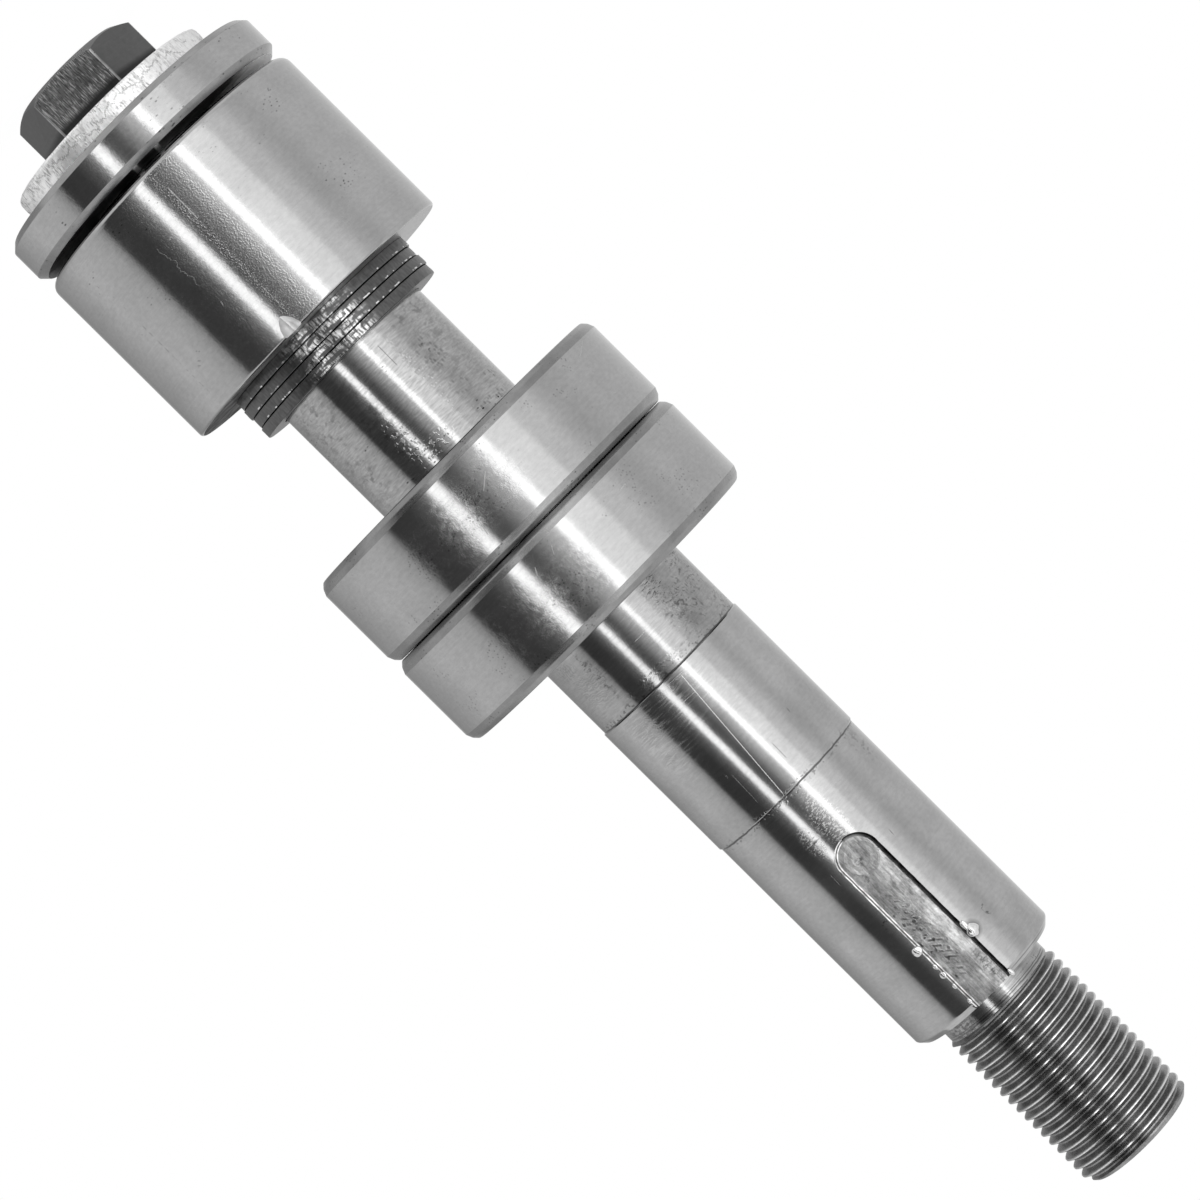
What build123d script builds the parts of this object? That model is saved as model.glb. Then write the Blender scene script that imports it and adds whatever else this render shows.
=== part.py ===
"""Stepped drive shaft in two ball bearings, with its end bolt, washers, collar and sleeve.

The shaft stands along Z on the head of its end bolt, because it would roll on its bearings.  The
origin is on its axis, midway between the two bearings.  The threaded end is at the top and the
keyway opens to the front, to -Y.  Lengths are in millimetres and angles in degrees.
"""

import os
from math import cos, radians, sin, tan

from build123d import *

# ---------------------------------------------------------------- shaft
seat_diameter = 25.4            # seat of the bearings, shims, sleeve and collar
relief_diameter = 24.95         # unground stretch beside the bearings
relief_length = 11.75
journal_diameter = 25.4         # ground journal for an oil seal
journal_length = 22.5
journal_edge = 0.15             # chamfer at both ends of the journal
drive_diameter = 25.0           # keyed seat
drive_length = 38.65
drive_chamfer = 0.95
neck_diameter = 17.9            # run-out behind the thread
neck_length = 2.55
thread_diameter = 19.05
thread_length = 27.35
thread_chamfer = 1.0
bolt_end_chamfer = 0.6          # on the shaft's end at the bolt
centre_diameter = 7.0           # lathe centre in the threaded end
centre_angle = 60.0
centre_pilot_diameter = 2.5
centre_pilot_length = 3.0

# ---------------------------------------------------------------- keyway
keyway_width = 6.7
keyway_length = 29.2            # open at the top of the keyed seat
keyway_depth = 1.4              # below the seat's crown
keyway_corner = 0.6             # fillet along the foot of the wall

# ---------------------------------------------------------------- end bolt and its tapped hole
bolt_diameter = 12.7
bolt_length = 31.75             # under the head
bolt_tip_chamfer = 1.3
head_width = 18.7               # across the flats
head_height = 7.9               # with its washer face
head_corner_radius = 0.4
head_top_diameter = 17.4        # flat inside the chamfer on top of the head
head_chamfer_angle = 30.0
head_turn = 6.5                 # of the hexagon, from -Y towards +X
washer_face_height = 0.5
washer_face_diameter = 17.8
tapped_clearance = 0.03         # radial, round the bolt
tapped_run_out = 4.0            # hole beyond the bolt's tip
tap_drill_angle = 118.0

# ---------------------------------------------------------------- end washer and collar
end_washer_wall = 9.9           # from its hole to its rim
end_washer_thickness = 3.7
end_washer_edge = 0.2
end_washer_clearance = 0.7      # radial, round the bolt
end_washer_shift = 0.55         # off centre towards +X
collar_wall = 9.55              # from its bore to its rim
collar_thickness = 6.3
collar_chamfer = 0.95
collar_clearance = 0.25         # radial, round the shaft
collar_shift = 0.2              # off centre towards +X

# ---------------------------------------------------------------- sleeve
sleeve_gap = 1.2                # bare shaft between the collar and the sleeve
sleeve_wall = 9.72              # from its bore to its outside
sleeve_length = 28.9
sleeve_clearance = 0.01         # radial, round the shaft
sleeve_rounding = 1.4           # outer rim facing the collar
sleeve_bore_chamfer = 0.5
notch_diameter = 3.5            # half-drilled notch in the rim facing the shims
notch_length = 0.3              # its straight part
notch_point_angle = 50.0
notch_offset = 0.7              # drill's axis outside the sleeve's surface
notch_turn = 8.3                # from -Y towards +X

# ---------------------------------------------------------------- shim washers
shim_wall = 3.075               # from its hole to its rim
shim_thickness = 1.56
shim_count = 4
shim_gap = 0.1                  # between neighbours
shim_clearance = 0.2            # radial, round the shaft
shim_shift = 0.1                # off centre, one to each side in turn
bare_seat_length = 19.1         # between the last shim and the first bearing

# ---------------------------------------------------------------- ball bearings
# The walls and the ball add up to a bearing 52 mm across.
bearing_count = 2
bearing_width = 15.0
bearing_gap = 0.1               # between neighbours
bearing_clearance = 0.005       # radial, on the shaft
inner_race_wall = 2.8           # from the bore to the floor of the ball groove
outer_race_wall = 2.522         # from the outside to the floor of the ball groove
outer_corner_length = 1.4       # outer ring's corner, along the axis
outer_corner_height = 1.0       # outer ring's corner, radially
inner_corner = 0.8
ball_diameter = 7.938
ball_count = 9
ball_clearance = 0.02           # radial, between a ball and each groove
groove_depth = 1.65             # below the lands beside it
groove_relief = 0.16            # how much larger the groove's radius is than the ball's
lip_land_wall = 3.1             # inner ring under the seal's lip
seal_seat_wall = 2.85           # outer ring round the seal
seal_seat_length = 2.0
seal_thickness = 1.3
seal_depth = 0.5                # below the ring's face
seal_seat_clearance = 0.02      # radial, in the outer ring
seal_lip_clearance = 0.06       # radial, round the inner ring
cage_clearance = 0.3            # radial, to both lands
cage_seal_gap = 0.7             # between the cage's closed side and the seal
cage_front = 1.6                # from the balls' centres to the tips of its fingers
pocket_clearance = 0.1          # radial, round a ball

# ---------------------------------------------------------------- stations up the shaft
bearing_pitch = bearing_width + bearing_gap
bearings_end = (bearing_count * bearing_pitch - bearing_gap) / 2
bearings_start = -bearings_end
relief_end = bearings_end + relief_length
journal_end = relief_end + journal_length
drive_end = journal_end + drive_length
neck_end = drive_end + neck_length
thread_end = neck_end + thread_length
shims_end = bearings_start - bare_seat_length
shim_pitch = shim_thickness + shim_gap
sleeve_end = shims_end - shim_count * shim_pitch + shim_gap
sleeve_start = sleeve_end - sleeve_length
collar_end = sleeve_start - sleeve_gap
collar_start = collar_end - collar_thickness
washer_start = collar_start - end_washer_thickness
bolt_tip = washer_start + bolt_length
tapped_end = bolt_tip + tapped_run_out

# ---------------------------------------------------------------- radii built up from the shaft
seat_radius = seat_diameter / 2
end_washer_hole_radius = bolt_diameter / 2 + end_washer_clearance
end_washer_radius = end_washer_hole_radius + end_washer_wall
collar_bore_radius = seat_radius + collar_clearance
collar_radius = collar_bore_radius + collar_wall
sleeve_bore_radius = seat_radius + sleeve_clearance
sleeve_radius = sleeve_bore_radius + sleeve_wall
shim_hole_radius = seat_radius + shim_clearance
shim_radius = shim_hole_radius + shim_wall
ball_radius = ball_diameter / 2
inner_race_radius = seat_radius + inner_race_wall
pitch_radius = inner_race_radius + ball_clearance + ball_radius
outer_race_radius = pitch_radius + ball_radius + ball_clearance
bearing_radius = outer_race_radius + outer_race_wall
inner_land_radius = inner_race_radius + groove_depth
outer_land_radius = outer_race_radius - groove_depth
lip_land_radius = seat_radius + lip_land_wall
seal_seat_radius = bearing_radius - seal_seat_wall

os.makedirs("parts", exist_ok=True)


def circles_at(part, height):
    """Circular edges of a turned part in the plane at this height, the smallest first."""
    circles = part.edges().filter_by(GeomType.CIRCLE)
    level = circles.filter_by_position(Axis.Z, height - 0.001, height + 0.001)
    return level.sort_by(SortBy.RADIUS)


def save(part, name):
    """Label a finished piece and write it as its own file."""
    part.label = name
    export_step(part, f"parts/{name}.step")


# ================================================================ shaft
# One bar turned down in steps, drilled and tapped at one end and keyed near the other.
steps = [
    (collar_start, bearings_end, seat_diameter),
    (bearings_end, relief_end, relief_diameter),
    (relief_end, journal_end, journal_diameter),
    (journal_end, drive_end, drive_diameter),
    (drive_end, neck_end, neck_diameter),
    (neck_end, thread_end, thread_diameter),
]
outer_chamfers = [
    (collar_start, bolt_end_chamfer),
    (relief_end, journal_edge),
    (journal_end, journal_edge),
    (drive_end, drive_chamfer),
    (neck_end, thread_chamfer / 2),
    (thread_end, thread_chamfer),
]
tapped_radius = bolt_diameter / 2 + tapped_clearance
tapped_point = tapped_radius / tan(radians(tap_drill_angle / 2))
centre_pilot_radius = centre_pilot_diameter / 2
centre_depth = (centre_diameter / 2 - centre_pilot_radius) / tan(radians(centre_angle / 2))
keyway_floor = drive_diameter / 2 - keyway_depth
keyway_centre = drive_end - keyway_length + keyway_width / 2

# The keyway's cutter: round at its end and along its foot, and run out past the open end.
with BuildPart() as keyway_cutter:
    with BuildSketch(Plane.XZ.offset(keyway_floor)):
        with Locations((0, keyway_centre)):
            Circle(keyway_width / 2)
            Rectangle(keyway_width, neck_end - keyway_centre, align=(Align.CENTER, Align.MIN))
    extrude(amount=seat_diameter)
    foot = keyway_cutter.edges().group_by(Axis.Y)[-1]
    fillet(foot.sort_by(Axis.Z)[:-1], keyway_corner)

with BuildPart() as shaft:
    for start, end, diameter in steps:
        with BuildSketch(Plane.XY.offset(start)):
            Circle(diameter / 2)
        extrude(amount=end - start)
    for station, size in outer_chamfers:
        chamfer(circles_at(shaft, station)[-1], size)

    # Tapped hole for the end bolt, with the drill's point at its far end.
    with BuildSketch(Plane.XZ):
        with BuildLine():
            Polyline(
                (0, collar_start),
                (tapped_radius, collar_start),
                (tapped_radius, tapped_end),
                (0, tapped_end + tapped_point),
                close=True,
            )
        make_face()
    revolve(axis=Axis.Z, mode=Mode.SUBTRACT)

    # Lathe centre in the threaded end.
    with BuildSketch(Plane.XZ):
        with BuildLine():
            Polyline(
                (0, thread_end),
                (centre_diameter / 2, thread_end),
                (centre_pilot_radius, thread_end - centre_depth),
                (centre_pilot_radius, thread_end - centre_depth - centre_pilot_length),
                (0, thread_end - centre_depth - centre_pilot_length - centre_pilot_radius),
                close=True,
            )
        make_face()
    revolve(axis=Axis.Z, mode=Mode.SUBTRACT)

    add(keyway_cutter.part, mode=Mode.SUBTRACT)
save(shaft.part, "shaft")

# ================================================================ end bolt
head_start = washer_start - head_height
head_end = washer_start - washer_face_height
head_chamfer_reach = head_width - head_top_diameter / 2
head_chamfer_length = head_chamfer_reach * tan(radians(head_chamfer_angle))

with BuildPart() as end_bolt:
    with BuildSketch(Plane.XY.offset(head_start)) as hexagon:
        RegularPolygon(head_width / 2, 6, major_radius=False, rotation=head_turn)
        fillet(hexagon.vertices(), head_corner_radius)
    extrude(amount=head_end - head_start)
    with BuildSketch(Plane.XZ):
        with BuildLine():
            Polyline(
                (0, head_start),
                (head_top_diameter / 2, head_start),
                (head_width, head_start + head_chamfer_length),
                (head_width, head_end),
                (0, head_end),
                close=True,
            )
        make_face()
    revolve(axis=Axis.Z, mode=Mode.INTERSECT)
    with BuildSketch(Plane.XY.offset(head_end)):
        Circle(washer_face_diameter / 2)
    extrude(amount=washer_face_height)
    with BuildSketch(Plane.XY.offset(washer_start)):
        Circle(bolt_diameter / 2)
    extrude(amount=bolt_length)
    chamfer(circles_at(end_bolt, bolt_tip)[-1], bolt_tip_chamfer)
save(end_bolt.part, "end_bolt")

# ================================================================ end washer
with BuildPart() as end_washer:
    with BuildSketch(Plane.XY.offset(washer_start)):
        with Locations((end_washer_shift, 0)):
            Circle(end_washer_radius)
            Circle(end_washer_hole_radius, mode=Mode.SUBTRACT)
    extrude(amount=end_washer_thickness)
    chamfer(circles_at(end_washer, washer_start)[-1], end_washer_edge)
    chamfer(circles_at(end_washer, collar_start)[-1], end_washer_edge)
save(end_washer.part, "end_washer")

# ================================================================ collar
with BuildPart() as end_collar:
    with BuildSketch(Plane.XY.offset(collar_start)):
        with Locations((collar_shift, 0)):
            Circle(collar_radius)
            Circle(collar_bore_radius, mode=Mode.SUBTRACT)
    extrude(amount=collar_thickness)
    chamfer(circles_at(end_collar, collar_start)[-1], collar_chamfer)
    chamfer(circles_at(end_collar, collar_end)[-1], collar_chamfer)
save(end_collar.part, "end_collar")

# ================================================================ sleeve
notch_radius = notch_diameter / 2
notch_point = notch_radius / tan(radians(notch_point_angle / 2))
notch_axis_radius = sleeve_radius + notch_offset
notch_x = notch_axis_radius * sin(radians(notch_turn))
notch_y = -notch_axis_radius * cos(radians(notch_turn))

with BuildPart() as sleeve:
    with BuildSketch(Plane.XY.offset(sleeve_start)):
        Circle(sleeve_radius)
        Circle(sleeve_bore_radius, mode=Mode.SUBTRACT)
    extrude(amount=sleeve_length)
    fillet(circles_at(sleeve, sleeve_start)[-1], sleeve_rounding)
    chamfer(circles_at(sleeve, sleeve_start)[0], sleeve_bore_chamfer)
    chamfer(circles_at(sleeve, sleeve_end)[0], sleeve_bore_chamfer)
    # The notch is half a drilled hole, point and all, along the rim.
    with BuildSketch(Plane((notch_x, notch_y, 0), x_dir=(1, 0, 0), z_dir=(0, -1, 0))):
        with BuildLine():
            Polyline(
                (0, sleeve_end - notch_length - notch_point),
                (notch_radius, sleeve_end - notch_length),
                (notch_radius, sleeve_end),
                (0, sleeve_end),
                close=True,
            )
        make_face()
    revolve(axis=Axis((notch_x, notch_y, 0), (0, 0, 1)), mode=Mode.SUBTRACT)
save(sleeve.part, "sleeve")

# ================================================================ shim washers
for number in range(shim_count):
    shim_start = sleeve_end + number * shim_pitch
    shift = shim_shift if number % 2 else -shim_shift
    with BuildPart() as shim_washer:
        with BuildSketch(Plane.XY.offset(shim_start)):
            with Locations((shift, 0)):
                Circle(shim_radius)
                Circle(shim_hole_radius, mode=Mode.SUBTRACT)
        extrude(amount=shim_thickness)
    save(shim_washer.part, f"shim_washer_{number + 1}")


# ================================================================ ball bearings
half_width = bearing_width / 2
groove_radius = ball_radius + groove_relief
seal_outer_face = half_width - seal_depth
seal_inner_face = seal_outer_face - seal_thickness
cage_back = seal_inner_face - cage_seal_gap


def build_outer_ring(centre, name):
    """Outer ring: wide corners, a ball groove and a recess for a seal on each side."""
    with BuildPart() as outer_ring:
        with BuildSketch(Plane.XY.offset(centre - half_width)):
            Circle(bearing_radius)
            Circle(outer_land_radius, mode=Mode.SUBTRACT)
        extrude(amount=bearing_width)
        for side in (-1, 1):
            end_height = centre + side * half_width
            end_face = outer_ring.faces().sort_by(Axis.Z)[-1 if side > 0 else 0]
            rim = circles_at(outer_ring, end_height)[-1]
            chamfer(rim, outer_corner_height, outer_corner_length, reference=end_face)
            with BuildSketch(Plane.XY.offset(end_height)):
                Circle(seal_seat_radius)
            extrude(amount=-side * seal_seat_length, mode=Mode.SUBTRACT)
        with BuildSketch(Plane.XZ):
            with Locations((outer_race_radius - groove_radius, centre)):
                Circle(groove_radius)
        revolve(axis=Axis.Z, mode=Mode.SUBTRACT)
    save(outer_ring.part, name)


def build_inner_ring(centre, name):
    """Inner ring: a ball groove between two lands, stepped down under the seals' lips."""
    with BuildPart() as inner_ring:
        with BuildSketch(Plane.XY.offset(centre - half_width)):
            Circle(lip_land_radius)
        extrude(amount=bearing_width)
        with BuildSketch(Plane.XY.offset(centre - half_width + seal_seat_length)):
            Circle(inner_land_radius)
        extrude(amount=bearing_width - 2 * seal_seat_length)
        with BuildSketch(Plane.XY.offset(centre - half_width)):
            Circle(seat_radius + bearing_clearance)
        extrude(amount=bearing_width, mode=Mode.SUBTRACT)
        for side in (-1, 1):
            chamfer(circles_at(inner_ring, centre + side * half_width)[0], inner_corner)
        with BuildSketch(Plane.XZ):
            with Locations((inner_race_radius + groove_radius, centre)):
                Circle(groove_radius)
        revolve(axis=Axis.Z, mode=Mode.SUBTRACT)
    save(inner_ring.part, name)


def build_balls(centre, name):
    """The full set of balls, evenly round the pitch circle."""
    with BuildPart() as balls:
        with Locations(Plane.XY.offset(centre)):
            with PolarLocations(pitch_radius, ball_count):
                Sphere(ball_radius)
    save(balls.part, name)


def build_cage(centre, name):
    """Crown cage: a ring behind the balls, with bored pockets that close past their centres."""
    with BuildPart() as cage:
        with BuildSketch(Plane.XY.offset(centre - cage_back)):
            Circle(outer_land_radius - cage_clearance)
            Circle(inner_land_radius + cage_clearance, mode=Mode.SUBTRACT)
        extrude(amount=cage_back + cage_front)
        with Locations(Plane.XY.offset(centre)):
            with PolarLocations(pitch_radius, ball_count):
                Cylinder(
                    ball_radius + pocket_clearance,
                    2 * (outer_land_radius - inner_land_radius),
                    rotation=(0, 90, 0),
                    mode=Mode.SUBTRACT,
                )
    save(cage.part, name)


def build_seal(centre, side, name):
    """Rubber seal: a disc snapped into the outer ring, with a lip round the inner ring."""
    with BuildPart() as seal:
        with BuildSketch(Plane.XY.offset(centre + side * seal_inner_face)):
            Circle(seal_seat_radius - seal_seat_clearance)
            Circle(lip_land_radius + seal_lip_clearance, mode=Mode.SUBTRACT)
        extrude(amount=side * seal_thickness)
    save(seal.part, name)


for number in range(1, bearing_count + 1):
    middle = bearings_start + bearing_width / 2 + (number - 1) * bearing_pitch
    build_outer_ring(middle, f"outer_ring_{number}")
    build_inner_ring(middle, f"inner_ring_{number}")
    build_balls(middle, f"balls_{number}")
    build_cage(middle, f"cage_{number}")
    build_seal(middle, -1, f"seal_{number}_lower")
    build_seal(middle, 1, f"seal_{number}_upper")
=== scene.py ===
"""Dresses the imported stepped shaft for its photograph.

The shaft stands along Z on the head of its end bolt, with its thread on top and its keyway to the
front, to -Y.  Each piece that shows is rebuilt here as a finer mesh at the CAD's own stations, with
rounded edges, burrs and tool marks, and the balls and cages keep their CAD meshes.  Shapes are
worked out in millimetres and scaled to metres as each mesh is made.  Angles round the shaft are in
degrees from -Y towards +X.
"""

import math

import bmesh
import bpy
import numpy as np
from mathutils import Matrix, Vector, noise


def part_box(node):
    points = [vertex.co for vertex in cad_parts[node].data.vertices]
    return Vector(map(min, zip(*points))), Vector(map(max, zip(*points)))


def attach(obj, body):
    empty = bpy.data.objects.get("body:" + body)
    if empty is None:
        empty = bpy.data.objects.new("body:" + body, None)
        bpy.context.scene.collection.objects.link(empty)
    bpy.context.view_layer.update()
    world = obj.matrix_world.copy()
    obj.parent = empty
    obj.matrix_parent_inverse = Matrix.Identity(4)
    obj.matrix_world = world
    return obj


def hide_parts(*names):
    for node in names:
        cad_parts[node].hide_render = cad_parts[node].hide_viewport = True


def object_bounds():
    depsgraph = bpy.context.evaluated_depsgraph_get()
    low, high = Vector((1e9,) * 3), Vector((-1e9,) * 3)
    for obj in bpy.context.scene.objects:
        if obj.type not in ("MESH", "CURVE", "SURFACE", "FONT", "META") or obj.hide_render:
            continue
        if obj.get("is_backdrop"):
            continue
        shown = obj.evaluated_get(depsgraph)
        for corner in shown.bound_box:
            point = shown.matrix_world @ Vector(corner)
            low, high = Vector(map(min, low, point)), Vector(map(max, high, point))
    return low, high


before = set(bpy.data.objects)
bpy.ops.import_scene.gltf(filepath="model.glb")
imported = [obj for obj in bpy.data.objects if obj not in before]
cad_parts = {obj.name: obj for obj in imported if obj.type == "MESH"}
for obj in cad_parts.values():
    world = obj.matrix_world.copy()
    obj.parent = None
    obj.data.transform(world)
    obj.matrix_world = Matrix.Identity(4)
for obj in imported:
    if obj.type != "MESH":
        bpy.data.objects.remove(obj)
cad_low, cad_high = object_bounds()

MM = 0.001
TURN = 2 * math.pi
WELD = 1e-4
SEGMENTS = 192


def span(node):
    """Lowest and highest height of a CAD node, in millimetres."""
    low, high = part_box(node)
    return low.z / MM, high.z / MM


def reach(node):
    """Largest radius of a CAD node and how far its middle stands off the axis along X."""
    low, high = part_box(node)
    return (high.x - low.x) / 2 / MM, (high.x + low.x) / 2 / MM


# ================================================================ sizes, in millimetres
head_start, bolt_tip = span("end_bolt")
washer_start, washer_end = span("end_washer")
collar_start, collar_end = span("end_collar")
sleeve_start, sleeve_end = span("sleeve")
shaft_start, thread_end = span("shaft")
shim_count = 4
shim_pitch = 1.66
bearing_count = 2
shims_end = span(f"shim_washer_{shim_count}")[1]
bearings_start = span("outer_ring_1")[0]
bearings_end = span(f"outer_ring_{bearing_count}")[1]
sleeve_radius = reach("sleeve")[0]
bearing_radius = reach("outer_ring_1")[0]

seat_radius = 12.7
relief_radius = 12.475
drive_radius = 12.5
neck_radius = 8.95
thread_radius = 9.525
thread_pitch = 1.5875
thread_start = thread_end - 27.35
drive_end = thread_start - 2.55
journal_end = drive_end - 38.65
journal_length = 22.5
relief_end = journal_end - journal_length

keyway_width = 6.7
keyway_start = drive_end - 29.2
keyway_centre = keyway_start + keyway_width / 2
keyway_floor = drive_radius - 1.4

head_turn = 6.5


# ================================================================ meshes
def corner_arc(before, corner, after, radius, steps=5):
    """Points of the arc that rounds one corner of a profile."""
    corner = Vector(corner)
    back = (Vector(before) - corner).normalized()
    ahead = (Vector(after) - corner).normalized()
    half = back.angle(ahead) / 2
    start = corner + back * (radius / math.tan(half))
    end = corner + ahead * (radius / math.tan(half))
    centre = corner + (back + ahead).normalized() * (radius / math.sin(half))
    first = math.atan2(start.y - centre.y, start.x - centre.x)
    last = math.atan2(end.y - centre.y, end.x - centre.x)
    sweep = (last - first + math.pi) % TURN - math.pi
    angles = [first + sweep * step / steps for step in range(steps + 1)]
    return [centre + radius * Vector((math.cos(a), math.sin(a))) for a in angles]


def profile(corners, closed=True, spacing=2.0, margin=0.1):
    """Points of a turned profile from (radius, height, rounding) corners.

    Straight runs get a ring near each end, which keeps their shading flat, and rings between."""
    outline = []
    for index, (radius, height, rounding) in enumerate(corners):
        at_end = not closed and index in (0, len(corners) - 1)
        if rounding and not at_end:
            before = corners[index - 1][:2]
            after = corners[(index + 1) % len(corners)][:2]
            outline += corner_arc(before, (radius, height), after, rounding)
        else:
            outline.append(Vector((radius, height)))
    following = outline[1:] + (outline[:1] if closed else [])
    points = []
    for start, end in zip(outline, following):
        points.append(start)
        length = (end - start).length
        if length > 4 * margin:
            inner = length - 2 * margin
            runs = max(1, math.ceil(inner / spacing))
            along = (end - start) / length
            points += [start + along * (margin + inner * run / runs) for run in range(runs + 1)]
    if not closed:
        points.append(outline[-1])
    return points


def polar(radius, angle, height, shift=0.0):
    """The place at a radius and an angle in radians from -Y towards +X."""
    return shift + radius * math.sin(angle), -radius * math.cos(angle), height


def ring(bm, radius, height, shift):
    """Vertices all round the axis and back to the first, or the same one all along on the axis."""
    if radius < 1e-6:
        return [bm.verts.new((shift, 0, height))] * (SEGMENTS + 1)
    angles = (TURN * index / SEGMENTS for index in range(SEGMENTS))
    line = [bm.verts.new(polar(radius, angle, height, shift)) for angle in angles]
    return line + line[:1]


def skin(bm, lines):
    """Faces between neighbouring lines of vertices, but for those without an area."""
    for lower, upper in zip(lines, lines[1:]):
        for index in range(len(lower) - 1):
            loop = lower[index], lower[index + 1], upper[index + 1], upper[index]
            loop = dict.fromkeys(loop)
            if len(loop) > 2:
                bm.faces.new(loop)


def lathe(points, closed=True, shift=0.0, bm=None):
    """A turned solid round Z from (radius, height) points."""
    bm = bm or bmesh.new()
    rings = [ring(bm, radius, height, shift) for radius, height in points]
    skin(bm, rings + rings[:1] if closed else rings)
    return bm


def revolve(corners, shift=0.0, **spread):
    """A turned solid with a hole through it, from the corners of its closed profile."""
    return lathe(profile(corners, **spread), shift=shift)


def revolve_open(corners, bm=None, **spread):
    """Turned faces from the corners of an open profile, which may start and end on the axis."""
    return lathe(profile(corners, closed=False, **spread), closed=False, bm=bm)


def stack(outlines):
    """A solid between outlines of as many points, one over the other."""
    bm = bmesh.new()
    rings = [[bm.verts.new(point) for point in outline] for outline in outlines]
    skin(bm, [line + line[:1] for line in rings])
    bm.faces.new(rings[0])
    bm.faces.new(rings[-1])
    return bm


def add_thread(bm, start, end, crest, pitch, start_radius, end_radius):
    """A right-hand thread between two plain rings, as one helical grid.

    The shape gives the depth below the crest at each fraction of the pitch."""
    half = ((0.0, 0.0), (0.045, 0.0), (0.08, 0.04), (0.23, 0.285), (0.375, 0.54), (0.43, 0.6))
    shape = [*half, (0.5, 0.613), *((1 - at, depth) for at, depth in reversed(half))]
    fractions, depths = zip(*shape)
    rows = fractions[:-1]
    turns = math.ceil((end - start) / pitch) + 1
    grid = []
    for turn_number in range(turns + 1):
        for fraction in rows:
            line = []
            for index in range(SEGMENTS):
                lead = pitch * index / SEGMENTS
                height = start + (turn_number - 1 + fraction) * pitch + lead
                height = min(max(height, start), end)
                phase = (height - start - lead) / pitch % 1
                radius = crest - pitch * float(np.interp(phase, fractions, depths))
                radius = max(radius, start_radius - (height - start))
                radius = min(radius, start_radius + (height - start), end_radius + (end - height))
                line.append(bm.verts.new(polar(radius, TURN * index / SEGMENTS, height)))
            grid.append(line)
    # A row ends where the row one turn up begins.
    one_turn_up = grid[len(rows):] + grid[-1:] * len(rows)
    skin(bm, [line + above[:1] for line, above in zip(grid, one_turn_up)])


def add_object(name, data):
    made = bpy.data.objects.new(name, data)
    bpy.context.scene.collection.objects.link(made)
    return made


def piece(name, bm, crease=30):
    """A new object in metres from a mesh in millimetres, smooth but for its sharp edges.

    What meets is welded, what has no area is dropped and the faces are turned outward."""
    bmesh.ops.remove_doubles(bm, verts=bm.verts, dist=WELD)
    bmesh.ops.dissolve_degenerate(bm, edges=bm.edges, dist=WELD)
    bmesh.ops.recalc_face_normals(bm, faces=bm.faces)
    bmesh.ops.scale(bm, vec=(MM, MM, MM), verts=bm.verts)
    for face in bm.faces:
        face.smooth = True
    mesh = bpy.data.meshes.new(name)
    bm.to_mesh(mesh)
    bm.free()
    mesh.set_sharp_from_angle(angle=math.radians(crease))
    return add_object(name, mesh)


def add_boolean(target, cutter, operation):
    step = target.modifiers.new(cutter.name, "BOOLEAN")
    step.operation = operation
    step.solver = "EXACT"
    step.object = cutter


def shaped(target, cutters):
    """The mesh that a piece's modifiers make of it, with the cutters then deleted."""
    view = bpy.context.evaluated_depsgraph_get()
    mesh = bpy.data.meshes.new_from_object(target.evaluated_get(view))
    target.modifiers.clear()
    for cutter in cutters:
        bpy.data.objects.remove(cutter)
    return mesh


def cut(target, cutters, crease=30):
    """Takes the cutters away from a piece and deletes them."""
    for cutter in cutters:
        add_boolean(target, cutter, "DIFFERENCE")
    target.data = shaped(target, cutters)
    target.data.set_sharp_from_angle(angle=math.radians(crease))


def true_cylinders(target):
    """Gives the faces of plain cylinders their exact normals, so that cuts leave no facets."""
    mesh = target.data
    normals = [Vector(corner.vector) for corner in mesh.corner_normals]
    for face in mesh.polygons:
        outward = Vector((face.center.x, face.center.y, 0)).normalized()
        if face.normal.dot(outward) > 0.9995:
            for loop in face.loop_indices:
                corner = mesh.vertices[mesh.loops[loop].vertex_index].co
                normals[loop] = Vector((corner.x, corner.y, 0)).normalized()
    mesh.normals_split_custom_set(normals)


def place(target, body, slot, materials, *nodes, choose=None):
    """Dresses a piece, sets it on its body and lets it stand for its CAD nodes.

    A piece of several materials has a rule that chooses one for a face, from its middle and its
    distance from the axis in millimetres."""
    for material in materials:
        target.data.materials.append(material)
    if choose:
        for face in target.data.polygons:
            middle = face.center / MM
            chosen = choose(face, middle, math.hypot(middle.x, middle.y))
            face.material_index = materials.index(chosen)
    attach(target, body)
    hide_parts(*nodes)


def ragged(bm, move):
    """Moves every vertex by what a rule gives for its place."""
    for vert in bm.verts:
        vert.co += move(vert.co)


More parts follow.
